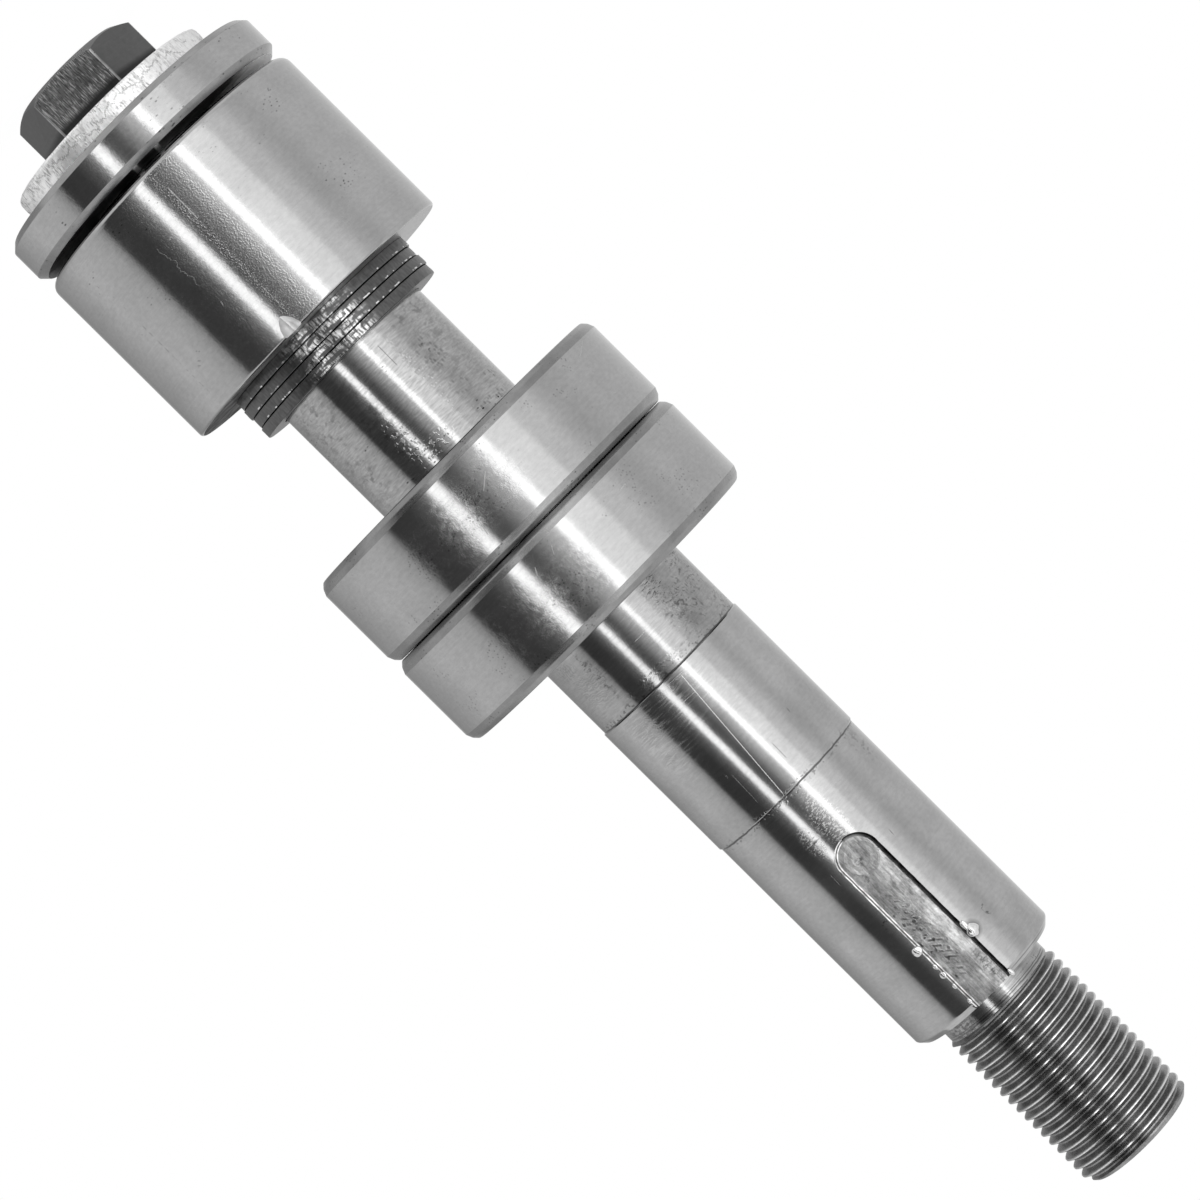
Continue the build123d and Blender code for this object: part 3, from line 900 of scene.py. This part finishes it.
ground = steel(
    "ground_steel", 0.40, 0.115, stain=0.09, grain=0.0024, marks=ground_marks, scuff=1.9
)
turned = steel(
    "turned_steel", 0.355, 0.12, stain=0.14, lines=0.0012, line_size=(2.0, 0.24), grain=0.003,
    marks=worn_marks, line_tone=0.12,
)
seat = steel(
    "seat_steel", 0.37, 0.1, stain=0.14, lines=0.004, line_size=(1.4, 0.26), grain=0.003,
    pits=0.06, marks=seat_marks, line_tone=0.24,
)
bearing_steel = steel(
    "bearing_steel", 0.40, 0.1, stain=0.05, lines=0.0003, grain=0.0014, marks=ring_marks
)
corner_steel = steel(
    "ring_corner_steel", 0.27, 0.24, stain=0.2, lines=0.006, line_size=(7.0, 0.14), grain=0.006,
    pits=0.1, pit_size=0.8,
)
ball_steel = steel("ball_steel", 0.45, 0.06, stain=0.02, lines=0.0, grain=0.0003)
collar_steel = steel(
    "collar_steel", 0.40, 0.105, stain=0.06, lines=0.0006, grain=0.005, grain_size=0.26, pits=0.02
)
chamfer_steel = steel("chamfer_steel", 0.29, 0.22, stain=0.2, grain=0.004, pits=0.14)
sleeve_steel = steel(
    "sleeve_steel", 0.40, 0.105, stain=0.06, lines=0.0005, grain=0.0038, grain_size=0.28,
    pits=0.03, pit_size=0.9, marks=sleeve_marks,
)
rough_steel = steel(
    "rough_washer_steel", 0.94, 0.4, stain=0.12, line_size=(0.2, 1.6), lines=0.03, grain=0.03,
    grain_size=0.4, marks=washer_marks,
)
black_steel = steel(
    "black_bolt_steel", 0.11, 0.34, stain=0.14, grain=0.006, marks=bolt_marks, scuff=3.4
)
bolt_edge = steel("worn_bolt_edge", 0.3, 0.34, stain=0.6, grain=0.01, pits=0.3, pit_size=0.8)
# Lit and shaded copies of one steel for the two halves of the sleeve's notch: painted light and painted
# shade.
notch_painted_light = steel("notch_painted_light_steel", 0.95, 0.5, stain=0.04, line_size=(0.5, 3.0), grain=0.003)
notch_painted_shade = steel("notch_painted_shade_steel", 0.5, 0.5, stain=0.1, line_size=(0.5, 3.0), grain=0.003)
burr_steel = steel("burr_steel", 0.7, 0.2, stain=0.2, grain=0.01, grain_size=0.25)
shimmed = shim_steel()
milled = keyway_steel()
# Painted shade on the foot along the -X wall, painted light on the foot along the +X wall.
shaded_foot = foot_steel("keyway_shaded_foot", 0.02, 0.05, 1.0, 0.5)
lit_foot = foot_steel("keyway_lit_foot", 0.1, 0.85, 2.0, 0.1)
neck_steel = steel(
    "neck_steel", 0.36, 0.13, stain=0.24, lines=0.008, line_size=(3.0, 0.2), grain=0.006, pits=0.2,
    pit_size=0.7, marks=neck_marks, line_tone=0.3,
)
threaded = thread_steel()
gap_shade = painted_gap_shade()
sleeve_face = face_steel()
seal_rubber = rubber()
cage_polyamide = polyamide()

# ================================================================ shaft
bolt_radius = 6.35
tapped_radius = 6.38
tapped_end = bolt_tip + 4.0
tapped_point = tapped_radius / math.tan(math.radians(118 / 2))
centre_radius = 3.5
pilot_radius = 1.25
centre_depth = (centre_radius - pilot_radius) / math.tan(math.radians(30))
pilot_end = thread_end - centre_depth - 3.0
end_face_radius = thread_radius - 1.0
drive_chamfer = 0.95

lower_shaft = [
    (0, tapped_end + tapped_point, 0),
    (tapped_radius, tapped_end, 0),
    (tapped_radius, shaft_start, 0.1),
    (seat_radius - 0.6, shaft_start, 0.1),
    (seat_radius, shaft_start + 0.6, 0.1),
    (seat_radius, bearings_end, 0),
    (relief_radius, bearings_end, 0),
    (relief_radius, relief_end, 0.04),
    (seat_radius - 0.15, relief_end, 0.04),
    (seat_radius, relief_end + 0.15, 0.1),
    (seat_radius, journal_end - 0.15, 0.1),
    (seat_radius - 0.15, journal_end, 0.03),
    (drive_radius, journal_end, 0.03),
    (drive_radius, drive_end - drive_chamfer, 0.6),
    (drive_radius - drive_chamfer, drive_end, 0.2),
    (neck_radius, drive_end, 0.3),
    (neck_radius, thread_start, 0),
]
upper_shaft = [
    (end_face_radius, thread_end, 0),
    (centre_radius, thread_end, 0.08),
    (pilot_radius, thread_end - centre_depth, 0.1),
    (pilot_radius, pilot_end, 0.1),
    (0, pilot_end - pilot_radius, 0),
]


def keyway_cutter():
    """The slot, round at its lower end and sloped along its foot, with the cutter's slight waver."""
    foot = 0.66
    arc = [math.pi * step / 48 for step in range(49)]
    heights = [keyway_centre + (drive_end + 2 - keyway_centre) * step / 60 for step in range(1, 61)]
    rows = [(foot, 0.0), (foot * 0.9, 0.02), (foot * 0.08, foot * 0.43), (0.0, foot * 0.55), (0.0, 3.0)]
    outlines = []
    for inset, rise in rows:
        width = keyway_width / 2 - inset
        line = [(width, z) for z in reversed(heights)]
        line += [(width * math.cos(a), keyway_centre - width * math.sin(a)) for a in arc]
        line += [(-width, z) for z in heights]
        outlines.append([(x, -(keyway_floor + rise), z) for x, z in line])

    def waver(at):
        side = 0.05 if abs(at.x) > 2.5 and at.z > keyway_centre else 0.0
        return Vector((side * noise.noise(Vector((at.x, 0, at.z * 0.9))), 0, 0))

    bm = stack(outlines)
    ragged(bm, waver)
    return piece("keyway_cutter", bm)


def plunge_cutter():
    """Where the end mill went in: a shallow round mark with a dimple in its middle."""
    mark_radius = 2.64
    bm = revolve_open([
        (0, -0.1, 0),
        (0.6, -0.08, 0.3),
        (1.3, -0.03, 0.5),
        (1.85, -0.05, 0.5),
        (mark_radius - 0.3, -0.015, 0.3),
        (mark_radius, -0.035, 0),
        (mark_radius, 1.0, 0),
        (0, 1.0, 0),
    ], spacing=0.6, margin=0.05)
    centre = Matrix.Translation((-0.1, -keyway_floor, keyway_centre + 0.4))
    bmesh.ops.transform(bm, matrix=centre @ Matrix.Rotation(TURN / 4, 4, "X"), verts=bm.verts)
    return piece("plunge_cutter", bm)


def add_burrs(target):
    """Lumps and a torn corner along the keyway's edges, sunk into the steel."""
    bm = bmesh.new()
    bm.from_mesh(target.data)
    for across, below, wide, tall, proud in (
        (-3.75, 8.0, 1.0, 0.98, 0.7),
        (-3.45, 9.1, 0.4, 0.9, 0.35),
        (3.5, 11.3, 0.74, 0.74, 0.45),
        (3.3, 8.05, 0.3, 0.42, 0.16),
        (3.3, 6.5, 0.42, 0.55, 0.2),
        (3.3, 4.4, 0.3, 0.4, 0.14),
        (3.28, 1.5, 0.28, 0.4, 0.14),
        (-3.42, 0.3, 0.34, 0.62, 0.22),
    ):
        height = drive_end - below
        lean = math.asin(across / drive_radius)
        made = bmesh.ops.create_icosphere(bm, subdivisions=4, radius=1.0)["verts"]
        seed = Vector((across * 3, height, 0))
        for vert in made:
            lumpy = 1 + 0.3 * noise.noise(vert.co * 0.9 + seed) + 0.03 * noise.noise(vert.co * 3 + seed)
            vert.co = Vector((vert.co.x * wide, vert.co.y * proud, vert.co.z * tall)) * lumpy
        seated = Matrix.Rotation(lean, 4, "Z")
        seated.translation = polar(drive_radius, lean, height)
        bmesh.ops.transform(bm, matrix=Matrix.Scale(MM, 4) @ seated, verts=made)
    for face in bm.faces:
        face.smooth = True
    bm.to_mesh(target.data)
    bm.free()


bm = revolve_open(lower_shaft)
add_thread(bm, thread_start, thread_end, thread_radius, thread_pitch, neck_radius, end_face_radius)
revolve_open(upper_shaft, bm)
shaft = piece("stepped_shaft", bm)
cut(shaft, [keyway_cutter(), plunge_cutter()])
plain_faces = len(shaft.data.polygons)
add_burrs(shaft)
true_cylinders(shaft)


def shaft_material(face, middle, radius):
    """The burrs, thread, neck, keyway, seat and relief each have their own steel."""
    front = keyway_start - 0.1 < middle.z < drive_end + 0.4 and middle.y < 0
    if face.index >= plain_faces:
        return burr_steel
    if middle.z > thread_start + 0.05:
        return threaded
    if middle.z > drive_end and radius < neck_radius + 0.2:
        return neck_steel
    if front and abs(middle.x) < keyway_width / 2 + 0.1 and radius < drive_radius - 0.06:
        if face.normal.y > -0.99 and middle.y < -keyway_floor - 0.002:
            # The foot facing +X takes painted shade, the one facing -X painted light.
            return shaded_foot if face.normal.x > 0 else lit_foot
        return milled
    if middle.z < bearings_end:
        return seat
    return turned if middle.z < relief_end else ground


place(
    shaft, "shaft", "shaft_steel",
    [ground, seat, turned, threaded, milled, burr_steel, shaded_foot, lit_foot, neck_steel], "shaft",
    choose=shaft_material,
)

# ================================================================ end bolt
half_width = 18.7 / 2
head_flat_radius = 8.7
head_slope = math.tan(math.radians(30))
washer_face_radius = 8.9
head_end = washer_start - 0.5
bolt_pitch = 1.27
tip_radius = bolt_radius - 0.85


def bolt_head():
    """Hexagon rounded at its corners, cut down to a cone round its top."""
    outline = []
    for side in range(6):
        corner = Vector((half_width / math.cos(TURN / 12), 0))
        corner.rotate(Matrix.Rotation(math.radians(head_turn) + TURN / 12 + side * TURN / 6, 2))
        before = corner.copy()
        before.rotate(Matrix.Rotation(-TURN / 6, 2))
        after = corner.copy()
        after.rotate(Matrix.Rotation(TURN / 6, 2))
        outline += corner_arc(before, corner, after, 0.4, steps=4)
    ends = (head_start - 0.01, head_end)
    head = piece("end_bolt", stack([[(p.y, -p.x, height) for p in outline] for height in ends]))

    far = half_width + 3
    cone = piece("head_cone", revolve_open([
        (0, head_start, 0),
        (head_flat_radius, head_start, 0.25),
        (far, head_start + (far - head_flat_radius) * head_slope, 0),
        (far, head_end + 1, 0),
        (0, head_end + 1, 0),
    ]))
    add_boolean(head, cone, "INTERSECT")
    bevel = head.modifiers.new("worn_edges", "BEVEL")
    bevel.width = 0.2 * MM
    bevel.segments = 3
    bevel.limit_method = "ANGLE"
    bevel.angle_limit = math.radians(35)
    bm = bmesh.new()
    bm.from_mesh(shaped(head, [cone]))
    bpy.data.objects.remove(head)
    bmesh.ops.scale(bm, vec=(1 / MM, 1 / MM, 1 / MM), verts=bm.verts)
    return bm


def bolt_material(face, middle, radius):
    """Worn bright on the corners of the hexagon, and painted shade round the washer face."""
    off_corner = (math.degrees(math.atan2(middle.x, -middle.y)) - head_turn) % 60 - 30
    on_corner = abs(off_corner) < 1.3 and abs(face.normal.z) < 0.3
    if middle.z < head_end and radius > half_width - 0.1 and on_corner:
        return bolt_edge
    # Painted shade on the washer face under the head.
    return gap_shade if head_end - 0.01 < middle.z < washer_start else black_steel


bm = bolt_head()
revolve_open([
    (0, head_end - 0.2, 0),
    (washer_face_radius, head_end - 0.2, 0),
    (washer_face_radius, washer_start, 0.1),
    (bolt_radius, washer_start, 0.3),
    (bolt_radius, washer_end, 0),
], bm)
add_thread(bm, washer_end, bolt_tip, bolt_radius, bolt_pitch, bolt_radius, tip_radius)
lathe([(tip_radius, bolt_tip), (0, bolt_tip)], closed=False, bm=bm)
end_bolt = piece("end_bolt", bm)
place(
    end_bolt, "shaft", "bolt_black", [black_steel, bolt_edge, gap_shade], "end_bolt", choose=bolt_material
)

# ================================================================ end washer
washer_radius, washer_shift = reach("end_washer")
washer_hole = 7.05


def cut_rim(at):
    """Rough flame-cut rim: dents inward only, deeper where the noise is high."""
    radial = Vector((at.x - washer_shift, at.y, 0))
    if radial.length < washer_radius - 1.2:
        return Vector()
    coarse = noise.noise(at * 0.55) + 0.5 * noise.noise(at * 1.7)
    depth = 0.1 + 0.16 * coarse + 0.05 * noise.noise(at * 5.0)
    return -radial.normalized() * max(depth, 0.0)


bm = revolve([
    (washer_hole, washer_start, 0.2),
    (washer_radius, washer_start, 0.6),
    (washer_radius, washer_end, 0.5),
    (washer_hole, washer_end, 0.2),
], washer_shift, spacing=0.35)
ragged(bm, cut_rim)
end_washer = piece("end_washer", bm, crease=50)
place(end_washer, "shaft", "washer_steel", [rough_steel], "end_washer")

# ================================================================ collar
collar_radius, collar_shift = reach("end_collar")
collar_bore = 12.95
collar_chamfer = 0.95
collar_face_radius = collar_radius - collar_chamfer


def collar_material(face, middle, _):
    """Painted shade in the gap beside the sleeve, and rougher on the chamfers."""
    radius = math.hypot(middle.x - collar_shift, middle.y)
    # Painted shade on the face towards the sleeve.
    if middle.z > collar_end - 0.15 and radius < collar_face_radius - 0.1:
        return gap_shade
    on_chamfer = 0.1 < abs(face.normal.z) < 0.98 and radius > collar_bore + 1
    return chamfer_steel if on_chamfer else collar_steel


collar = piece("end_collar", revolve([
    (collar_bore, collar_start, 0.3),
    (collar_face_radius, collar_start, 0.12),
    (collar_radius, collar_start + collar_chamfer, 0.12),
    (collar_radius, collar_end - collar_chamfer, 0.12),
    (collar_face_radius, collar_end, 0.12),
    (collar_bore, collar_end, 0.3),
], collar_shift))
place(
    collar, "shaft", "ground_steel", [collar_steel, chamfer_steel, gap_shade], "end_collar",
    choose=collar_material,
)

# ================================================================ sleeve
sleeve_bore = 12.71
notch_radius = 1.75
notch_turn = math.radians(8.3)
notch_axis = Vector(polar(sleeve_radius + 0.7, notch_turn, 0))
notch_tip = sleeve_end - 2.6


def sleeve_material(_, middle, radius):
    """Painted shade in the gap, the end face with painted shade on its far side, and painted light on one
    side of the notch.
    """
    # Painted shade on the face towards the collar.
    if middle.z < sleeve_start + 0.15 and radius < sleeve_radius - 1.4:
        return gap_shade
    if middle.z > sleeve_end - 0.03 and radius < sleeve_radius - 0.4:
        return sleeve_face
    inside = (middle.xy - notch_axis.xy).length < notch_radius + 0.02
    if inside and middle.z > notch_tip - 0.1 and radius < sleeve_radius - 0.02:
        # Painted light on the -X half of the notch, painted shade on the +X half.
        across = middle.x * math.cos(notch_turn) + middle.y * math.sin(notch_turn)
        return notch_painted_light if across < 0 else notch_painted_shade
    return sleeve_steel


sleeve = piece("sleeve", revolve([
    (sleeve_bore, sleeve_start, 0.4),
    (sleeve_radius, sleeve_start, 1.35),
    (sleeve_radius, sleeve_end, 0.5),
    (sleeve_bore, sleeve_end, 0.4),
]))
bm = revolve_open([
    (0, notch_tip - 1.25, 0),
    (1.46, notch_tip + 1.35, 1.3),
    (notch_radius, sleeve_end, 0),
    (notch_radius, sleeve_end + 1, 0),
    (0, sleeve_end + 1, 0),
], spacing=0.3)
bmesh.ops.translate(bm, vec=notch_axis, verts=bm.verts)
cut(sleeve, [piece("notch_cutter", bm)])
true_cylinders(sleeve)
place(
    sleeve, "shaft", "ground_steel",
    [sleeve_steel, sleeve_face, gap_shade, notch_painted_light, notch_painted_shade], "sleeve", choose=sleeve_material,
)

# ================================================================ shim washers
shim_hole = 12.9
for number in range(1, shim_count + 1):
    start, end = span(f"shim_washer_{number}")
    radius, shift = reach(f"shim_washer_{number}")
    seed = Vector((7.3 * number, 2.1, 0))

    def punched(at):
        """The lower part of a punched rim is torn, and its upper part is smooth."""
        radial = Vector((at.x - shift, at.y, 0))
        if radial.length < radius - 1.0:
            return Vector()
        torn = max(0.0, 0.6 - (at.z - start) / (end - start))
        tear = 0.06 + 0.08 * noise.noise(at * 2.5 + seed) + 0.06 * noise.noise(at * 0.5 + seed)
        return -radial.normalized() * (torn * tear + 0.06 * abs(noise.noise(at * 0.7 + seed)))

    bm = revolve([
        (shim_hole, start, 0.1),
        (radius, start, 0.1),
        (radius, end, 0.16),
        (shim_hole, end, 0.1),
    ], shift, spacing=0.3)
    ragged(bm, punched)
    shim = piece(f"shim_washer_{number}", bm, crease=50)
    place(shim, "shaft", "shim_steel", [shimmed], f"shim_washer_{number}")

# ================================================================ ball bearings
outer_land = 21.828
inner_land = 17.15
lip_land = 15.8
seal_seat = 23.15
groove_radius = 4.129
outer_race = 23.478
inner_race = 15.5
inner_bore = seat_radius + 0.005
seal_recess = 2.0
seal_radius = 23.13
lip_radius = 15.86


def groove(middle, centre_radius, land, sign):
    """Points of a ball groove between two lands, from its upper end: an arc of its true radius."""
    edge = math.acos(sign * (land - centre_radius) / groove_radius)
    steps = [edge - 2 * edge * step / 16 for step in range(17)]
    return [
        (centre_radius + sign * groove_radius * math.cos(a), middle + groove_radius * math.sin(a), 0)
        for a in steps
    ]


def ring_material(face, middle, radius):
    """Rougher where the outside rounds over to the end faces."""
    rounded = radius > bearing_radius - 1.2 and abs(face.normal.z) > 0.16
    return corner_steel if rounded else bearing_steel


for number in range(1, bearing_count + 1):
    start, end = span(f"outer_ring_{number}")
    middle = (start + end) / 2
    race_body = f"outer_race_{number}"

    outer_ring = piece(f"outer_ring_{number}", revolve([
        (bearing_radius - 1.05, start, 0.5),
        (bearing_radius - 0.4, start + 0.7, 0.8),
        (bearing_radius, start + 1.65, 0.2),
        (bearing_radius, end - 1.65, 0.2),
        (bearing_radius - 0.4, end - 0.7, 0.8),
        (bearing_radius - 1.05, end, 0.5),
        (seal_seat, end, 0.15),
        (seal_seat, end - seal_recess, 0),
        (outer_land, end - seal_recess, 0.15),
        *groove(middle, outer_race - groove_radius, outer_land, 1),
        (outer_land, start + seal_recess, 0.15),
        (seal_seat, start + seal_recess, 0),
        (seal_seat, start, 0.15),
    ]))
    place(
        outer_ring, race_body, "bearing_steel", [bearing_steel, corner_steel],
        f"outer_ring_{number}", choose=ring_material,
    )

    inner_ring = piece(f"inner_ring_{number}", revolve([
        (inner_bore, start + 0.8, 0.3),
        (inner_bore + 0.8, start, 0.3),
        (lip_land, start, 0.15),
        (lip_land, start + seal_recess, 0),
        (inner_land, start + seal_recess, 0.15),
        *reversed(groove(middle, inner_race + groove_radius, inner_land, -1)),
        (inner_land, end - seal_recess, 0.15),
        (lip_land, end - seal_recess, 0),
        (lip_land, end, 0.15),
        (inner_bore + 0.8, end, 0.3),
        (inner_bore, end - 0.8, 0.3),
    ]))
    place(inner_ring, "shaft", "bearing_steel", [bearing_steel], f"inner_ring_{number}")

    for side in ("lower", "upper"):
        node = f"seal_{number}_{side}"
        low, high = span(node)
        inside, outside = (high, low) if side == "lower" else (low, high)
        out = math.copysign(1, outside - inside)
        seal = piece(node, revolve([
            (lip_radius, inside + 0.3 * out, 0.1),
            (16.6, inside, 0.1),
            (seal_radius, inside, 0.1),
            (seal_radius, outside, 0.25),
            (22.3, outside, 0.15),
            (21.9, outside - 0.35 * out, 0.15),
            (17.6, outside - 0.35 * out, 0.2),
            (17.1, outside, 0.15),
            (16.4, outside, 0.2),
            (lip_radius, outside - 0.5 * out, 0.1),
        ], spacing=1.5))
        place(seal, race_body, "seal_rubber", [seal_rubber], node)

    for node, material in ((f"balls_{number}", ball_steel), (f"cage_{number}", cage_polyamide)):
        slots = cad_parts[node].material_slots
        for index in range(len(slots)):
            slots[index].material = material

# ================================================================ stage and light
world_light = 1.0


def show(graph, shader):
    """Makes a node's first output what the material shows."""
    graph.plug(graph.tree.nodes["Material Output"].inputs["Surface"], shader.outputs[0])
    return graph.material


def floor_material():
    """Matt near the part, so that it takes a shadow, and lit like the room further out."""
    graph = Graph("pale_floor", Roughness=1.0, Specular_IOR_Level=0.0)
    graph.shader.inputs["Base Color"].default_value = (0.95, 0.95, 0.95, 1)
    away = graph.add("ShaderNodeVectorMath", [(0, graph.place)], operation="LENGTH").outputs["Value"]
    glow = graph.add("ShaderNodeEmission", [("Strength", world_light)]).outputs[0]
    lit = [(0, graph.fit(away, 0.012, 0.09)), (1, graph.shader.outputs[0]), (2, glow)]
    seen = graph.add("ShaderNodeMixShader", lit).outputs[0]
    behind = graph.add("ShaderNodeNewGeometry").outputs["Backfacing"]
    clear = graph.add("ShaderNodeBsdfTransparent").outputs[0]
    return show(graph, graph.add("ShaderNodeMixShader", [(0, behind), (1, seen), (2, clear)]))


def stage_mesh(name, verts, faces, material):
    mesh = bpy.data.meshes.new(name)
    mesh.from_pydata(verts, [], faces)
    mesh.materials.append(material)
    made = add_object(name, mesh)
    made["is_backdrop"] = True
    return made


floor_radius = 2.5
rim = [TURN * step / 120 for step in range(120)]
floor_verts = [(floor_radius * math.cos(a), floor_radius * math.sin(a), cad_low.z) for a in rim]
floor = stage_mesh("floor", floor_verts, [tuple(range(len(rim)))], floor_material())
floor.visible_glossy = False

tent_radius = 1.1
tent_height = 2.4
tent_gain = 4.0
# Light of the tent round the part, as the gloss sees it, by angle from the camera: a window with
# a bright edge, a grey card, a narrow strip, a black card, and pale cloth all round the back.
tent_light = (
    (-180, 0.80), (-130, 0.80), (-92, 0.90), (-72, 0.76), (-62, 0.88), (-55, 1.10), (-42, 1.20),
    (-39, 1.60), (-21, 1.75), (-18.5, 3.0), (-13.5, 2.9), (-11.5, 1.15), (-3, 0.66), (3, 0.32),
    (8, 0.17), (16.5, 0.2), (18.5, 2.0), (20.5, 2.55), (25, 2.55), (27.5, 0.5), (33, 0.2), (42, 0.09),
    (60, 0.08), (63, 0.5), (69, 0.74), (80, 0.86), (104, 0.90), (128, 0.66), (145, 0.48),
    (160, 0.33), (170, 0.45), (180, 0.80),
)


def tent_material():
    """Glows by the angle round the part."""
    graph = Graph("tent_light")
    ramp = graph.add("ShaderNodeValToRGB", [("Fac", graph.fit(graph.around()[0], -180.0, 180.0))])
    stops = ramp.color_ramp.elements
    while len(stops) < len(tent_light):
        stops.new(0.5)
    for stop, (degrees, light) in zip(stops, tent_light):
        stop.position = (degrees + 180) / 360
        stop.color = (light / tent_gain,) * 3 + (1,)
    glow = [("Color", ramp.outputs["Color"]), ("Strength", tent_gain)]
    return show(graph, graph.add("ShaderNodeEmission", glow))


# A round tent of light with soft-edged cards on it, seen only in the part's gloss.
row = len(rim)
tent_verts = [polar(tent_radius, a, side * tent_height / 2) for side in (-1, 1) for a in rim]
tent_faces = [(i, (i + 1) % row, row + (i + 1) % row, row + i) for i in range(row)]
tent = stage_mesh("light_tent", tent_verts, tent_faces, tent_material())
tent.visible_camera = False
tent.visible_diffuse = False
tent.visible_shadow = False

world = bpy.data.worlds.new("room")
world.use_nodes = True
background = world.node_tree.nodes["Background"]
background.inputs["Color"].default_value = (1, 1, 1, 1)
background.inputs["Strength"].default_value = world_light
bpy.context.scene.world = world
bpy.context.scene.view_settings.view_transform = "Standard"

# ================================================================ camera
# The camera looks a little upward, and is rolled so that the shaft lies across the picture.
camera_roll = math.radians(44.76)
camera_dip = math.radians(1.253)
camera_distance = 0.6034
camera_aim = (cad_low + cad_high) / 2 + Vector((0, 0, -4.58 * MM))
back = Vector((0, -math.cos(camera_dip), -math.sin(camera_dip)))
along = Vector((0, -math.sin(camera_dip), math.cos(camera_dip)))
left = Vector((-1, 0, 0))
right = math.cos(camera_roll) * along + math.sin(camera_roll) * left
up = -math.sin(camera_roll) * along + math.cos(camera_roll) * left

camera = add_object("camera", bpy.data.cameras.new("camera"))
camera.data.lens = 132.3
camera.data.sensor_width = 36
camera.data.shift_x = 0.01495
camera.data.shift_y = -0.01476
camera.data.clip_start = 0.01
camera.data.clip_end = 20
turned_axes = Matrix((right, up, back)).transposed().to_4x4()
camera.matrix_world = Matrix.Translation(camera_aim + back * camera_distance) @ turned_axes
bpy.context.scene.camera = camera

# ================================================================ done
bpy.context.view_layer.update()
low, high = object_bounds()
